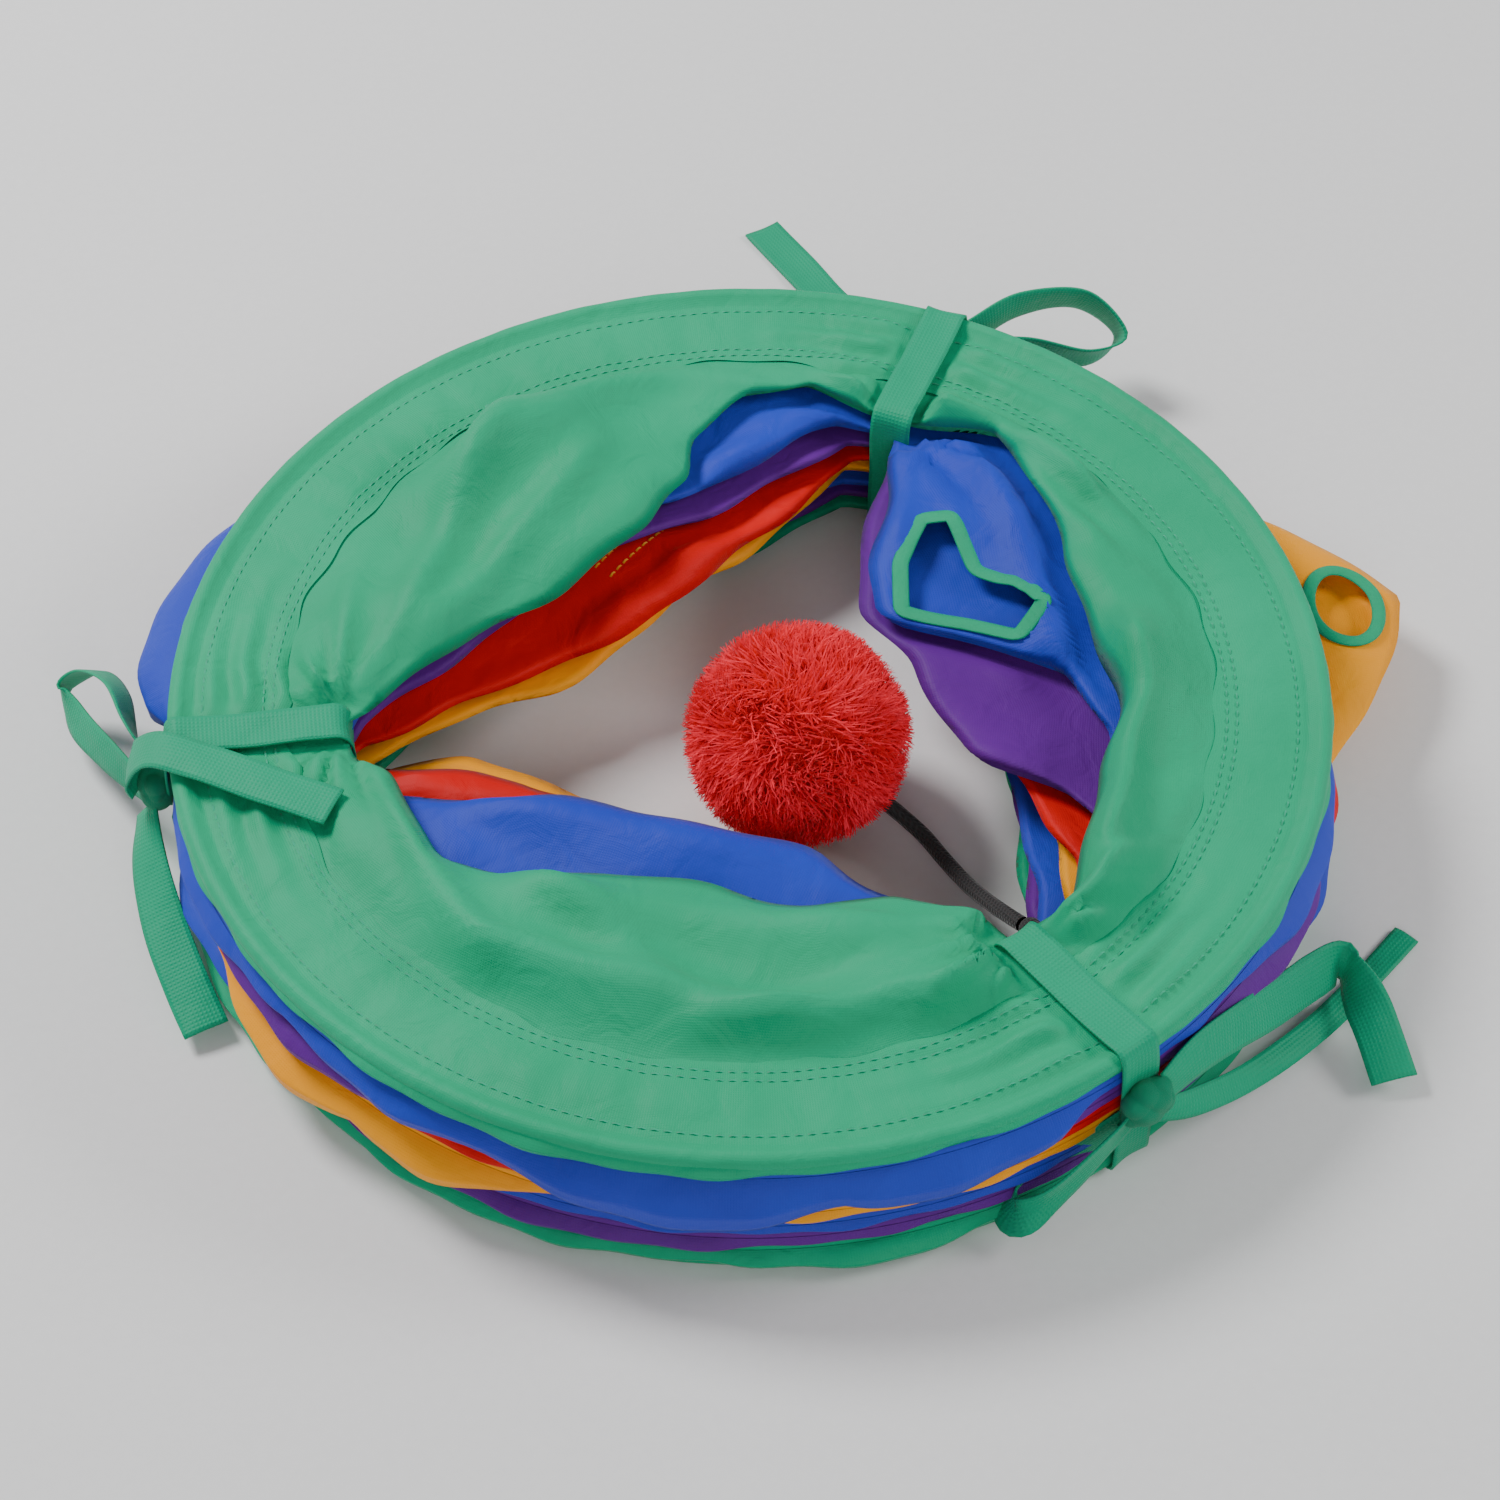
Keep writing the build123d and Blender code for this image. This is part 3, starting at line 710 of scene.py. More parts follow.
# %% Tape round the hoops
def loop_round(azimuth):
    """Section of the tape's loop: up outside, over the hem, down inside, and back under."""
    section = [(128.3, 22), (128.0, 34), (126.2, 39.4), (121, 39.2), (108, 38.6), (95, 38.9), (89.2, 38.2), (87.4, 33),
               (87.8, 18), (87.6, 5), (89.5, 0.9), (100, 0.7), (118, 0.7), (127, 0.9), (128.4, 6), (128.3, 18)]
    side = (-sin(radians(azimuth)), cos(radians(azimuth)), 0)
    return [(*polar(r, azimuth, z), *side) for r, z in section]


for tie, azimuth in TIES.items():
    tape(f"{tie}_tape_loop", loop_round(azimuth), f"{tie}_tie_wrap", squashed=True, width=9.6)

# %% Bows and ends
tape("rear_tape_bow", [(53, 124, 25, 0, 0, 1), (66, 133, 27, 0.1, -0.2, 1), (82, 138, 24, 0.2, -0.4, 0.9),
                       (92, 133, 17, 0.2, -0.6, 0.6), (84, 128, 14, 0, -0.4, 0.8), (68, 126, 18, 0, -0.2, 1),
                       (54, 121, 22, 0, 0, 1)], "rear_tie_bow")
tape("rear_tape_end", [(46, 125, 24, 0, 0, 1), (40, 132, 20, 0.3, 0.2, 0.9), (30, 145, 9, 0.7, 0.5, 0.4),
                       (22, 160, 2, 0.87, 0.5, 0), (12, 177, 0.8, 0.87, 0.5, 0), (3, 191, 0.8, 0.87, 0.5, 0)],
     "rear_tie_tail")
tape("left_tape_bow", [(-131, -14, 22, 0, 0.2, 1), (-137, -4, 26, -0.3, 0, 1), (-142, 10, 24, -0.6, -0.2, 0.8),
                       (-150, 20, 18, -0.5, -0.5, 0.6), (-156.5, 20, 12, 0, -0.4, 0.9), (-153, 12, 11, 0.4, 0.1, 0.9),
                       (-145, 0, 14, 0.3, 0.2, 0.9), (-134, -14, 18, 0, 0.2, 1)], "left_tie_bow", width=8.5)
tape("left_tape_end_over", [(-132, -19, 26, 0.2, 0.5, 0.8), (-134, -20, 33, 0.1, 0.9, 0.4),
                            (-128, -22, 40, 0.2, 0.95, 0), (-118, -26, 41.2, 0.3, 0.95, 0),
                            (-104, -32, 41.0, 0.4, 0.9, 0), (-88, -38.5, 40.6, 0.4, 0.9, 0)],
     "left_tie_tail_over")
tape("left_tape_end_down", [(-132, -22, 20, 0.5, 0, 0.9), (-131, -32, 16, 0.7, 0.1, 0.7),
                            (-127, -46, 11, 0.85, 0.3, 0.4), (-121, -60, 7, 0.9, 0.35, 0.2),
                            (-116, -70, 4, 0.9, 0.4, 0.1)], "left_tie_tail_down")
tape("front_tape_bow", [(82, -100, 24, 0, 0, 1), (74, -109, 20, 0.2, 0.1, 0.9), (62, -118, 13, 0.3, 0.2, 0.8),
                        (54, -120, 8, 0.5, 0.3, 0.7), (53, -114, 8, 0.4, -0.2, 0.8), (64, -108, 12, 0.1, 0, 0.9),
                        (80, -101, 19, 0, 0, 1)], "front_tie_bow", width=8.0)
tape("front_tape_end_folded", [(84, -100, 25, 0, 0.2, 1), (94, -90, 26, -0.2, 0.3, 0.9), (108, -76, 20, -0.3, 0.4, 0.8),
                               (120, -63, 14, -0.4, 0.4, 0.8), (127, -57, 11, -0.2, 0.2, 0.9),
                               (130, -62, 9.5, 0.5, 0.2, 0.8), (133, -71, 7, 0.9, 0.3, 0.2),
                               (136, -83, 4, 0.9, 0.25, 0.1)], "front_tie_tail_folded")
tape("front_tape_end_long", [(82, -102, 20, 0, 0.1, 1), (92, -96, 15, -0.3, 0.4, 0.8),
                             (106, -84, 8, -0.5, 0.5, 0.6),
                             (122, -68, 3, -0.6, 0.6, 0.3), (134, -54, 1.2, -0.8, 0.5, 0),
                             (144, -42, 0.8, -0.8, 0.5, 0)],
     "front_tie_tail_long", width=6.0)

# %% [markdown]
# ## The knots
# Each bow is held by a knot where the tape crosses itself. Pulled tight, it is a small hard lump with creases
# between its turns. Winding a ribbon into a true knot is long work for something this small, so a ball is
# flattened to the knot's size and creased along two crossing directions.

# %% Knots
KNOT_HALF = (6.4, 4.0, 5.4)  # half its size along the rim, outwards and up, in mm


def knot(tie):
    """A knot of tape: a ball flattened and creased by two turns of tape crossing over it."""
    azimuth = TIES[tie]
    low_corner, high_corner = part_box(f"{tie}_tie_knot")
    centre = (low_corner + high_corner) / 2
    obj = start_piece(f"{tie}_tape_knot", bpy.ops.mesh.primitive_ico_sphere_add, subdivisions=5, radius=1.0)
    co = positions(obj)
    along, up, out = co[:, 0], co[:, 1], co[:, 2]
    cross = np.abs(np.sin(3.2 * along + 2.4 * up)) + 0.7 * np.abs(np.sin(3.0 * up - 2.2 * along + 1))
    size = 1 + 0.13 * (cross - 0.8)
    side = Vector((-sin(radians(azimuth)), cos(radians(azimuth)), 0))
    outward = polar(1, azimuth)
    made = (np.outer(along * size * KNOT_HALF[0], side) + np.outer(out * size * KNOT_HALF[1], outward)
            + np.outer(up * size * KNOT_HALF[2], (0, 0, 1)))
    place_vertices(obj, np.array(centre) + made * MM)
    finish_closed(obj)
    return obj


knots = {tie: knot(tie) for tie in TIES}

# %% [markdown]
# ## Thread and yarn
# Stitches and the pom-pom's yarn are thousands of short thin pieces. One grid primitive holds all of them: two
# columns of it make one strand, and the faces between strands are deleted.

# %% Strands from one grid
rng = np.random.default_rng(7)


def strands(name, points):
    """points: strands, rows, two sides, xyz in metres."""
    count, rows = points.shape[:2]
    obj = start_piece(name, bpy.ops.mesh.primitive_grid_add, x_subdivisions=2 * count - 1,
                      y_subdivisions=rows - 1, size=1.0)
    flat = positions(obj)
    column = np.rint((flat[:, 0] + 0.5) * (2 * count - 1)).astype(int)
    row = np.rint((flat[:, 1] + 0.5) * (rows - 1)).astype(int)
    place_vertices(obj, points[column // 2, row, column % 2])
    keep_values(obj, "shade", rng.random(count)[column // 2])
    # Share along each strand, 0 at the root: the thread finish paints shade where it is low
    keep_values(obj, "tip", row / (rows - 1))
    mesh = bmesh.new()
    mesh.from_mesh(obj.data)
    mesh.verts.ensure_lookup_table()
    between = [f for f in mesh.faces if len({int(column[v.index]) // 2 for v in f.verts}) > 1]
    bmesh.ops.delete(mesh, geom=between, context="FACES_ONLY")
    mesh.to_mesh(obj.data)
    mesh.free()
    bpy.ops.object.shade_smooth()
    print(name, "strands", count, "faces", len(obj.data.polygons))
    return obj

# %% [markdown]
# ## The seams
# The hems are sewn down in two rows at their inner edge and one by the wire. A stitch on thin cloth is a short
# raised bar that dips at both ends. Each one is a strand of three points, laid on the cloth below it. The red
# panel's join is sewn with a double row of golden thread, of which a short stretch shows.

# %% Stitches
STITCH_HEIGHTS = (0.02, 0.28, 0.02)  # ends and middle over the cloth, in mm


def stitch_rows(name, obj, lines, pitch=2.6, length=1.8, width=0.42):
    """Rows of stitches along lines of places in mm, lying on a piece."""
    made = []
    for line in lines:
        line = np.array(line, float)
        t = np.concatenate([[0], np.cumsum(np.hypot(*np.diff(line, axis=0).T))])
        for at in np.arange(pitch / 2, t[-1], pitch):
            ends = np.array([[np.interp(at + h, t, line[:, i]) for i in (0, 1)]
                             for h in (-length / 2, 0, length / 2)])
            z = [drop_onto(obj, *p) for p in ends]
            if None in z:
                continue
            ahead = ends[2] - ends[0]
            side = np.array([-ahead[1], ahead[0]]) / hypot(*ahead) * width / 2
            strand = [[[(p[0] + s * side[0]) * MM, (p[1] + s * side[1]) * MM, h + lift * MM] for s in (1, -1)]
                      for p, h, lift in zip(ends, z, STITCH_HEIGHTS)]
            made.append(strand)
    return strands(name, np.array(made))


circle = np.radians(np.arange(0, 361, 0.5))
HEM_ROWS = (104.2, 106.4, 119.6)  # from the axis, in mm
hem_rows = [[(r * cos(a), r * sin(a)) for a in circle] for r in HEM_ROWS]
hem_stitches = stitch_rows("hem_stitches", upper_hem, hem_rows)

# %% Golden double seam on the red panel
seam_rows = []
for side in (-2.2, 2.2):
    seam_rows.append([(-34 + side * 0.8 + 18.0 * f, 43 + 24 * f - side * 0.6) for f in np.linspace(0, 1, 12)])
seam_stitches = stitch_rows("gold_stitches", panels[5], seam_rows, pitch=2.4, length=1.7, width=0.5)

# %% [markdown]
# ## The pom-pom and its cord
# A pom-pom is yarn wound on a core, tied and trimmed to a ball. The strands stand straight out from the core,
# lean a little in tufts, and are trimmed unevenly. The elastic cord is a round braid on a smooth route.

# %% Pom-pom
core_low, core_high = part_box("yarn_ball")
BALL_CENTRE = (core_low + core_high) / 2
BALL_RADIUS = (core_high.x - core_low.x) / 2
YARNS = 14000
YARN_START = 0.6  # where the strands start, as a share of the ball's radius
CORE_SHARE = 0.80  # radius of the wound core, as a share of the ball's
STRAND_WIDTHS = ((0.0, 0.5), (0.45, 0.52), (0.8, 0.42), (1.0, 0.14))  # share of the way out, width in mm


def pom_pom():
    """Strands spread evenly over the ball, each leaning a little with its tuft."""
    i = np.arange(YARNS) + 0.5
    polar_angle = np.arccos(1 - 2 * i / YARNS)
    turn = pi * (1 + 5 ** 0.5) * i
    out = np.stack([np.cos(turn) * np.sin(polar_angle), np.sin(turn) * np.sin(polar_angle),
                    np.cos(polar_angle)], -1)
    tuft = np.stack([np.sin(7 * out[:, 1] + 5 * out[:, 2]), np.sin(8 * out[:, 2] + 4 * out[:, 0]),
                     np.sin(6 * out[:, 0] + 7 * out[:, 1])], -1)
    lean = 0.16 * tuft + rng.normal(0, 0.13, (YARNS, 3))
    side = np.cross(out, rng.normal(size=(YARNS, 3)))
    side /= np.linalg.norm(side, axis=1)[:, None]
    trim = BALL_RADIUS * (0.985 + rng.normal(0, 0.018, YARNS) + 0.012 * tuft[:, 0])
    trim = np.minimum(trim, BALL_RADIUS * 1.02)
    rows = []
    for f, width in STRAND_WIDTHS:
        r = YARN_START * BALL_RADIUS + (trim - YARN_START * BALL_RADIUS) * f
        direction = out + lean * f ** 1.5
        direction /= np.linalg.norm(direction, axis=1)[:, None]
        middle = np.array(BALL_CENTRE) + direction * r[:, None]
        middle[:, 2] = np.maximum(middle[:, 2], 0.0004)
        rows.append(np.stack([middle + side * width / 2 * MM, middle - side * width / 2 * MM], 1))
    return strands("pom_pom_yarn", np.stack(rows, 1))


yarn = pom_pom()
# The core stands for the dense yarn inside; its duller, darker red finish is painted shade for the depth between the
# strands
heart = start_piece("pom_pom_heart", bpy.ops.mesh.primitive_ico_sphere_add, subdivisions=5,
                    radius=BALL_RADIUS * CORE_SHARE, location=BALL_CENTRE)
bpy.ops.object.transform_apply(location=True, rotation=True, scale=True)
out = positions(heart) - np.array(BALL_CENTRE)
unit = out / np.linalg.norm(out, axis=1)[:, None]
windings = np.sin(26 * unit[:, 0] + 9 * unit[:, 1]) * np.sin(22 * unit[:, 1] + 8 * unit[:, 2])
windings = windings * np.sin(24 * unit[:, 2])
place_vertices(heart, np.array(BALL_CENTRE) + out * (1 + 0.035 * windings)[:, None])
finish_closed(heart)

# %% [markdown]
# ## The elastic cord
# A round cord bends in one smooth line from the pom-pom to the fold it hangs from. A curve with a round bevel
# does this with five points, and stays easy to change.

# %% Elastic cord
CORD_ROUTE = [(0.0360, -0.0163, 0.0092), (0.0436, -0.0285, 0.0086), (0.0506, -0.0406, 0.0114)]
CORD_ANCHOR = Vector((0.060, -0.053, 0.0172))
CORD_DIAMETER, CORD_LENGTH = 0.0035, 0.0688
first = BALL_CENTRE + (Vector(CORD_ROUTE[0]) - BALL_CENTRE).normalized() * 0.005
last = CORD_ANCHOR + (Vector(CORD_ROUTE[-1]) - CORD_ANCHOR).normalized() * 0.0029
bpy.ops.object.select_all(action="DESELECT")
curve = bpy.data.curves.new("elastic_cord", "CURVE")
curve.dimensions = "3D"
spline = curve.splines.new("NURBS")
route = [last, *[Vector(p) for p in reversed(CORD_ROUTE)], first]
spline.points.add(len(route) - 1)
for point, place in zip(spline.points, route):
    point.co = (*place, 1)
spline.order_u = 3
spline.use_endpoint_u = True
spline.resolution_u = 24
curve.bevel_depth = CORD_DIAMETER / 2
curve.bevel_resolution = 6
cord = bpy.data.objects.new("elastic_cord", curve)
bpy.context.scene.collection.objects.link(cord)
print("cord from", [round(v, 4) for v in route[0]], "to", [round(v, 4) for v in route[-1]])

# %% [markdown]
# ## Finishes
# Colours are given as sRGB hex values, as a dyer's chart would, and one function turns them to linear. One small
# function adds a node. Values that are the same all over a surface sit on the shader's own sockets.

# %% Material helpers
def linear(hex_colour):
    """An sRGB hex colour as linear RGBA."""
    parts = [int(hex_colour[i : i + 2], 16) / 255 for i in (1, 3, 5)]
    return (*[c / 12.92 if c <= 0.04045 else ((c + 0.055) / 1.055) ** 2.4 for c in parts], 1.0)


def add(tree, kind, links=None, ramp=None, **settings):
    """A node with its settings. A link's key is an input, its value the output it comes from. A setting that
    starts with in_ is an input's own value. A ramp is a list of (place, sRGB hex colour)."""
    new = tree.nodes.new("ShaderNode" + kind)
    for key, value in settings.items():
        if key.startswith("in_"):
            new.inputs[int(key[3:]) if key[3:].isdigit() else key[3:].replace("_", " ")].default_value = value
        else:
            setattr(new, key, value)
    for key, output in (links or {}).items():
        tree.links.new(output, new.inputs[key])
    for stop, (place_on_ramp, colour) in zip(new.color_ramp.elements if ramp else (), ramp or ()):
        stop.position, stop.color = place_on_ramp, linear(colour)
    return new


def set_shader(shader, **values):
    """Values that are the same all over, on the shader's own sockets."""
    for socket, value in values.items():
        shader.inputs[socket.replace("_", " ")].default_value = value


def start_material(name):
    material = bpy.data.materials.new(name)
    material.use_nodes = True
    tree = material.node_tree
    return material, tree, tree.nodes["Principled BSDF"]


# %% [markdown]
# ## Woven polyester
# The panels are polyester taffeta: smooth filament in a thin, tight plain weave. It gives the eye an almost matt
# surface with a faint sheen, slightly uneven dye, and light that catches on pressed creases. Two crossed waves
# on the cloth's own UV make the weave, and noise and cells make the creases.

# %% Woven polyester
WAVE_REPEAT = 0.314  # a wave texture repeats every 0.314 / scale metres
# A real taffeta thread is far finer and wouldn't show, so the weave is drawn coarser, with threads 0.55 mm apart.
DRAWN_THREAD = 0.00055
# Scales below are 1 / size in metres: dye patches of 60 mm, creased cells of 22 mm, small wrinkles of 10 mm.
DYE_SCALE, CREASE_SCALE, WRINKLE_SCALE = 16.0, 46.0, 95.0


def polyester(name, dark, light, thread=DRAWN_THREAD, bump=0.35, wrinkle=0.5):
    material, tree, shader = start_material(name)
    where = add(tree, "TexCoord")
    cloth, place = where.outputs["UV"], where.outputs["Object"]
    dye = add(tree, "TexNoise", {"Vector": place}, in_Scale=DYE_SCALE, in_Detail=5.0, in_Roughness=0.55)
    colour = add(tree, "ValToRGB", {"Fac": dye.outputs["Fac"]}, ramp=[(0.25, dark), (0.8, light)])
    tree.links.new(colour.outputs["Color"], shader.inputs["Base Color"])
    warp, weft = (add(tree, "TexWave", {"Vector": cloth}, wave_type="BANDS", bands_direction=way,
                      in_Scale=WAVE_REPEAT / thread) for way in "XY")
    weave = add(tree, "Math", {0: warp.outputs["Fac"], 1: weft.outputs["Fac"]}, operation="MULTIPLY")
    creases = add(tree, "TexVoronoi", {"Vector": place}, feature="DISTANCE_TO_EDGE", in_Scale=CREASE_SCALE)
    pressed = add(tree, "MapRange", {"Value": creases.outputs["Distance"]}, in_From_Max=0.10)
    ripple = add(tree, "TexNoise", {"Vector": place}, in_Scale=WRINKLE_SCALE, in_Detail=3.0, in_Distortion=1.2)
    soft = add(tree, "Bump", {"Height": ripple.outputs["Fac"]}, in_Strength=wrinkle, in_Distance=0.0012)
    sharp = add(tree, "Bump", {"Height": pressed.outputs["Result"], "Normal": soft.outputs["Normal"]},
                in_Strength=0.22, in_Distance=0.0004)
    fine = add(tree, "Bump", {"Height": weave.outputs["Value"], "Normal": sharp.outputs["Normal"]},
               in_Strength=bump, in_Distance=0.00012)
    tree.links.new(fine.outputs["Normal"], shader.inputs["Normal"])
    rough = add(tree, "MapRange", {"Value": dye.outputs["Fac"]}, in_To_Min=0.50, in_To_Max=0.66)
    tree.links.new(rough.outputs["Result"], shader.inputs["Roughness"])
    set_shader(shader, Sheen_Weight=0.06, Sheen_Roughness=0.35, Specular_IOR_Level=0.25)
    return material


CLOTHS = {
    "green": polyester("green_polyester_taffeta", "#009C6C", "#00AE7C"),
    "purple": polyester("purple_polyester_taffeta", "#540E7E", "#661A92"),
    "blue": polyester("blue_polyester_taffeta", "#2034B0", "#2C46C4"),
    "yellow": polyester("yellow_polyester_taffeta", "#F59A00", "#FFAE00"),
    "red": polyester("red_polyester_taffeta", "#C80000", "#E20000"),
}
# Woven tape, near the same green: thicker yarn, so the eye sees its grid of threads, 0.9 mm apart
tape_cloth = polyester("green_woven_tape", "#00926A", "#00A678", thread=0.0009, bump=0.8, wrinkle=0.3)

# %% [markdown]
# ## Thread, yarn, braid and wire
# Yarn and thread are bundles of fibres: soft, matt, and painted darker at the root as shade, where little light comes
# in.
# The elastic is a tight black braid whose ribs cross; the ribs are painted lighter, as a glint. The wire is hardened
# steel, grey and half matt.

# %% Thread, yarn and braid
def thread_material(name, dark, light, sheen=0.4, roughness=0.6):
    """Fibres whose colour runs from painted shade at the root, where little light gets in, to a lighter tip,
    each strand a little different. On a stitch the painted shade falls at its first end.
    """
    material, tree, shader = start_material(name)
    tip = add(tree, "Attribute", attribute_name="tip")
    shade = add(tree, "Attribute", attribute_name="shade")
    half = add(tree, "Math", {0: shade.outputs["Fac"]}, operation="MULTIPLY", in_1=0.35)
    both = add(tree, "Math", {0: tip.outputs["Fac"], 1: half.outputs["Value"]}, operation="ADD")
    # The dark end of the ramp is painted shade at the root; the value per strand adds a real random tone
    colour = add(tree, "ValToRGB", {"Fac": both.outputs["Value"]}, ramp=[(0, dark), (1, light)])
    tree.links.new(colour.outputs["Color"], shader.inputs["Base Color"])
    fuzz = add(tree, "MapRange", {"Value": shade.outputs["Fac"]}, in_To_Min=roughness - 0.1,
               in_To_Max=roughness + 0.12)
    tree.links.new(fuzz.outputs["Result"], shader.inputs["Roughness"])
    set_shader(shader, Sheen_Weight=sheen, Specular_IOR_Level=0.3)
    return material


def rough_solid(name, dark, light, scale, metal=0.0, roughness=(0.4, 0.6), bump=0.3):
    """A solid finish with a noise in its colour, roughness and bump."""
    material, tree, shader = start_material(name)
    place = add(tree, "TexCoord").outputs["Object"]
    noise = add(tree, "TexNoise", {"Vector": place}, in_Scale=scale, in_Detail=5.0)
    colour = add(tree, "ValToRGB", {"Fac": noise.outputs["Fac"]}, ramp=[(0, dark), (1, light)])
    tree.links.new(colour.outputs["Color"], shader.inputs["Base Color"])
    rough = add(tree, "MapRange", {"Value": noise.outputs["Fac"]}, in_To_Min=roughness[0], in_To_Max=roughness[1])
    tree.links.new(rough.outputs["Result"], shader.inputs["Roughness"])
    lift = add(tree, "Bump", {"Height": noise.outputs["Fac"]}, in_Strength=bump, in_Distance=0.0003)
    tree.links.new(lift.outputs["Normal"], shader.inputs["Normal"])
    set_shader(shader, Metallic=metal)
    return material


BRAID_SCALE = 420.0  # ribs some 0.75 mm apart


def braid(name):
    """Black elastic braid: two sets of ribs that cross round the cord, painted lighter on the ribs as a glint."""
    material, tree, shader = start_material(name)
    place = add(tree, "TexCoord").outputs["Object"]
    one = add(tree, "TexWave", {"Vector": place}, wave_type="BANDS", bands_direction="DIAGONAL", in_Scale=BRAID_SCALE)
    flip = add(tree, "Mapping", {"Vector": place}, in_Scale=(-1, 1, -1))
    two = add(tree, "TexWave", {"Vector": flip.outputs["Vector"]}, wave_type="BANDS", bands_direction="DIAGONAL",
              in_Scale=BRAID_SCALE)
    ribs = add(tree, "Math", {0: one.outputs["Fac"], 1: two.outputs["Fac"]}, operation="MAXIMUM")
    # The ribs are coloured lighter than the black between them: a painted glint
    colour = add(tree, "ValToRGB", {"Fac": ribs.outputs["Value"]}, ramp=[(0, "#050505"), (1, "#1C1C1E")])
    tree.links.new(colour.outputs["Color"], shader.inputs["Base Color"])
    lift = add(tree, "Bump", {"Height": ribs.outputs["Value"]}, in_Strength=0.7, in_Distance=0.0003)
    tree.links.new(lift.outputs["Normal"], shader.inputs["Normal"])
    set_shader(shader, Roughness=0.62, Sheen_Weight=0.25)
    return material


# Acrylic yarn: bright soft tips, with painted shade that darkens each strand towards its root between the strands
yarn_finish = thread_material("red_acrylic_yarn", "#F8000E", "#FF2840", sheen=0.1, roughness=0.7)
# The core of dense wound yarn: a duller, darker red that is painted shade between the strands, seen only in the gaps;
# lumps of 4 mm
core_painted_shade_finish = rough_solid("red_yarn_core_painted_shade", "#B00008", "#E00014", 260.0, roughness=(0.7, 0.9), bump=0.8)
# Sewing thread: fine twisted polyester, with more sheen than the cloth, and painted shade at the first end of each
# stitch
green_thread = thread_material("green_sewing_thread", "#008A60", "#06A67C")
gold_thread = thread_material("gold_sewing_thread", "#C07000", "#FFB030")
braid_finish = braid("black_elastic_braid")
# Drawn spring wire: dark grey, fairly smooth. A crimped ferrule: paler and a bit rougher. Mottling of 3 to 5 mm.
spring_steel = rough_solid("spring_steel_wire", "#5C5E60", "#7A7C7E", 300.0, metal=1.0, roughness=(0.28, 0.4),
                           bump=0.1)
ferrule_steel = rough_solid("crimped_steel_ferrule", "#8C8E90", "#B0B2B4", 220.0, metal=1.0, roughness=(0.3, 0.45))


def finish_with(obj, material):
    obj.data.materials.clear()
    obj.data.materials.append(material)


# %% [markdown]
# ## Give every piece its finish, and most pieces a body
# The CAD nodes keep their shapes and get the better materials. The soft nodes are replaced by the new cloth.
# A panel's cloth, and the pieces sewn to it, only have their transforms baked; they are not tied to the turns of
# the tunnel.

# %% CAD nodes
for name, node in nodes.items():
    material = None
    if name.startswith("hoop_ferrule"):
        material = ferrule_steel
    elif name.startswith("hoop_sleeve"):
        material = CLOTHS[PANELS[int(name[-1]) - 1]]
    elif name.startswith("hoop_"):
        material = spring_steel
    elif "tie" in name:
        material = tape_cloth
    elif name in ("cord_knot", "ball_core", "cord_tab"):
        material = braid_finish if name != "cord_tab" else tape_cloth
    if material:
        for spot in node.material_slots:
            spot.material = material


def join_turns(obj, share):
    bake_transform(obj)


def follow_panel(obj, k, rows):
    """Finds, for each point of a piece sewn to panel k, the place along the cloth of the nearest sewn point,
    then only bakes the piece's transform; the piece doesn't move with the cloth.
    """
    cloth = panels[k]
    share, places, path_row = kept_values(cloth, "cloth_v"), positions(cloth), kept_values(cloth, "path_row", np.int32)
    sewn = np.nonzero((path_row >= rows[0]) & (path_row <= rows[1]))[0]
    tree = KDTree(len(sewn))
    for i in sewn:
        tree.insert(places[i], int(i))
    tree.balance()
    join_turns(obj, [share[tree.find(v)[1]] for v in positions(obj)])


for k, obj in panels.items():
    colour = PANELS[k - 1]
    finish_with(obj, CLOTHS[colour])
    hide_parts(f"{colour}_panel_{k}")
    join_turns(obj, kept_values(obj, "cloth_v"))
    area = sum(p.area for p in obj.data.polygons)
    print(obj.name, "share of the flat cloth", round(area / (HOOP_LENGTH * PANEL_LENGTH), 2))

for obj, node, body in ((upper_hem, "upper_hem", "upper_end"), (lower_hem, "lower_hem", "lower_end")):
    finish_with(obj, CLOTHS["green"])
    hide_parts(node)
    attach(obj, body)
for name, (obj, length, width, replaced, squashed) in tapes.items():
    finish_with(obj, tape_cloth)
    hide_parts(*replaced)
    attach(obj, "upper_end")
    if squashed:
        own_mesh(obj)
for tie, obj in knots.items():
    finish_with(obj, tape_cloth)
    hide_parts(f"{tie}_tie_knot")
    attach(obj, "upper_end")
finish_with(hem_stitches, green_thread)
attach(hem_stitches, "upper_end")
finish_with(seam_stitches, gold_thread)
follow_panel(seam_stitches, 5, TOP_LAYER)
finish_with(peephole_edge, CLOTHS["green"])
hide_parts("peephole_binding")
follow_panel(peephole_edge, 7, TOP_LAYER)
finish_with(flap_edge, CLOTHS["green"])
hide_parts("flap_binding")
follow_panel(flap_edge, 4, BULGE_TOP)

finish_with(yarn, yarn_finish)
finish_with(heart, core_painted_shade_finish)
finish_with(cord, braid_finish)
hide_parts("yarn_ball")
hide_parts("ball_cord")
for obj in (yarn, heart, cord):
    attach(obj, "ball")

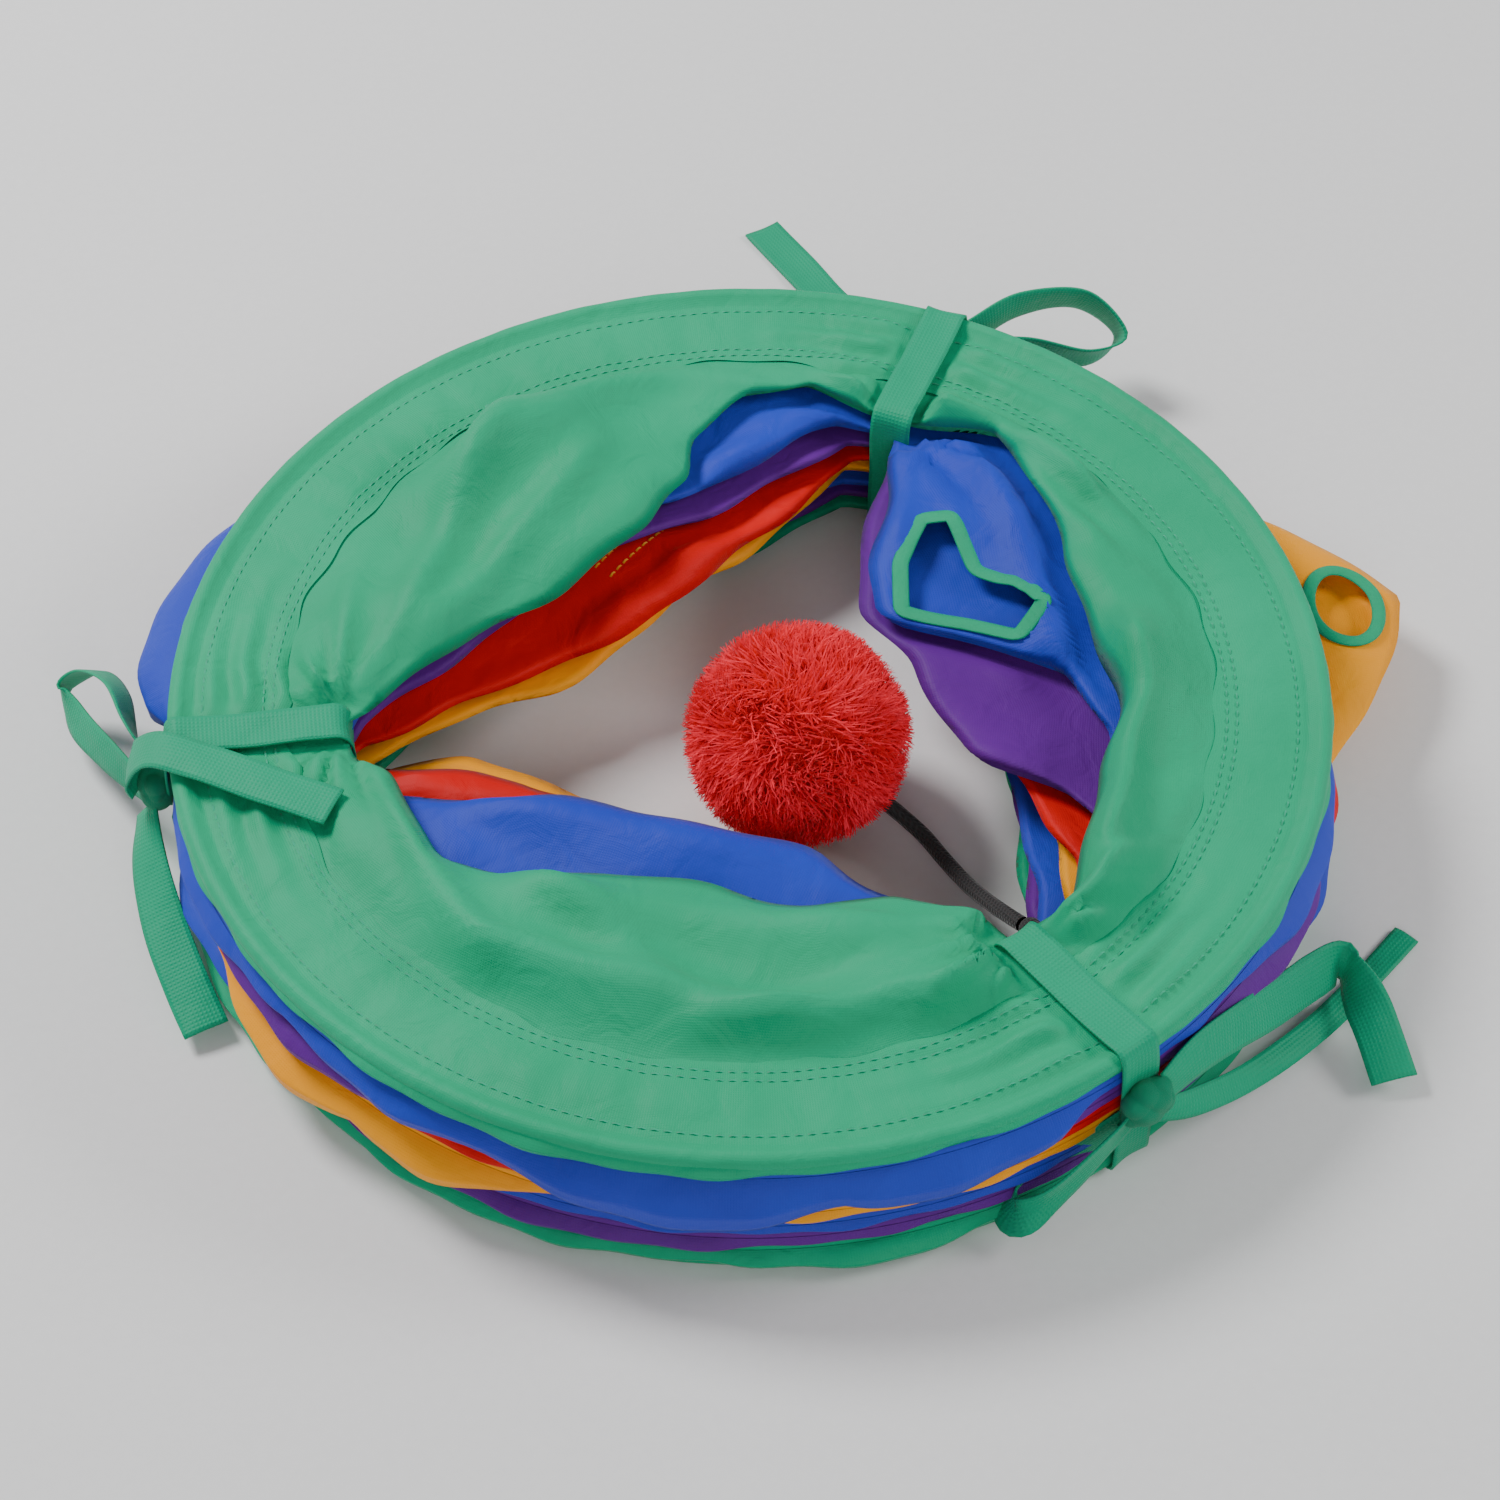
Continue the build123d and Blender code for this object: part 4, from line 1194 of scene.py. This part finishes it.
# %% [markdown]
# ## Floor, light and camera
# The tunnel lies on a pale seamless floor under one large soft light, with a weaker one from the right that
# draws the folds. The camera looks down at it from the front with a long lens.

# %% Floor
floor = start_piece("floor", bpy.ops.mesh.primitive_plane_add, size=6.0)
# Matt paper: an even pale grey with a hardly visible grain, drawn at 2.5 mm because real paper fibre wouldn't show
paper, tree, shader = start_material("pale_studio_paper")
place = add(tree, "TexCoord").outputs["Object"]
grain = add(tree, "TexNoise", {"Vector": place}, in_Scale=400.0, in_Detail=3.0)
tone = add(tree, "ValToRGB", {"Fac": grain.outputs["Fac"]}, ramp=[(0, "#E6E6E6"), (1, "#ECECEC")])
tree.links.new(tone.outputs["Color"], shader.inputs["Base Color"])
set_shader(shader, Roughness=0.9)
floor.data.materials.append(paper)


# %% Lights
def soft_light(name, place, size, watts, colour="#FFFFFF"):
    lamp = start_piece(name, bpy.ops.object.light_add, type="AREA", location=place)
    lamp.data.shape, lamp.data.size, lamp.data.energy = "DISK", size, watts
    lamp.data.color = linear(colour)[:3]
    lamp.rotation_euler = (Vector((0, 0, 0.02)) - Vector(place)).to_track_quat("-Z", "Y").to_euler()
    return lamp


soft_light("large_soft_light", (-0.7, 0.45, 0.95), 0.45, 15.0)
soft_light("side_light", (1.1, 0.1, 0.7), 0.5, 7.0)
soft_light("fill_light", (0.1, -1.0, 0.7), 0.7, 3.5)
world = bpy.data.worlds.new("studio")
bpy.context.scene.world = world
world.use_nodes = True
world.node_tree.nodes["Background"].inputs["Color"].default_value = linear("#E8E8EA")
world.node_tree.nodes["Background"].inputs["Strength"].default_value = 0.38

# %% Camera
bpy.ops.object.select_all(action="DESELECT")
CAMERA_PLACE, CAMERA_AIM = (0.0, -0.5155, 0.6177), (0.0, -0.005, 0.020)
bpy.ops.object.camera_add(location=CAMERA_PLACE)
camera = bpy.context.object
camera.data.lens, camera.data.sensor_width = 85.0, 36.0
camera.rotation_euler = (Vector(CAMERA_AIM) - camera.location).to_track_quat("-Z", "Y").to_euler()
bpy.context.scene.camera = camera
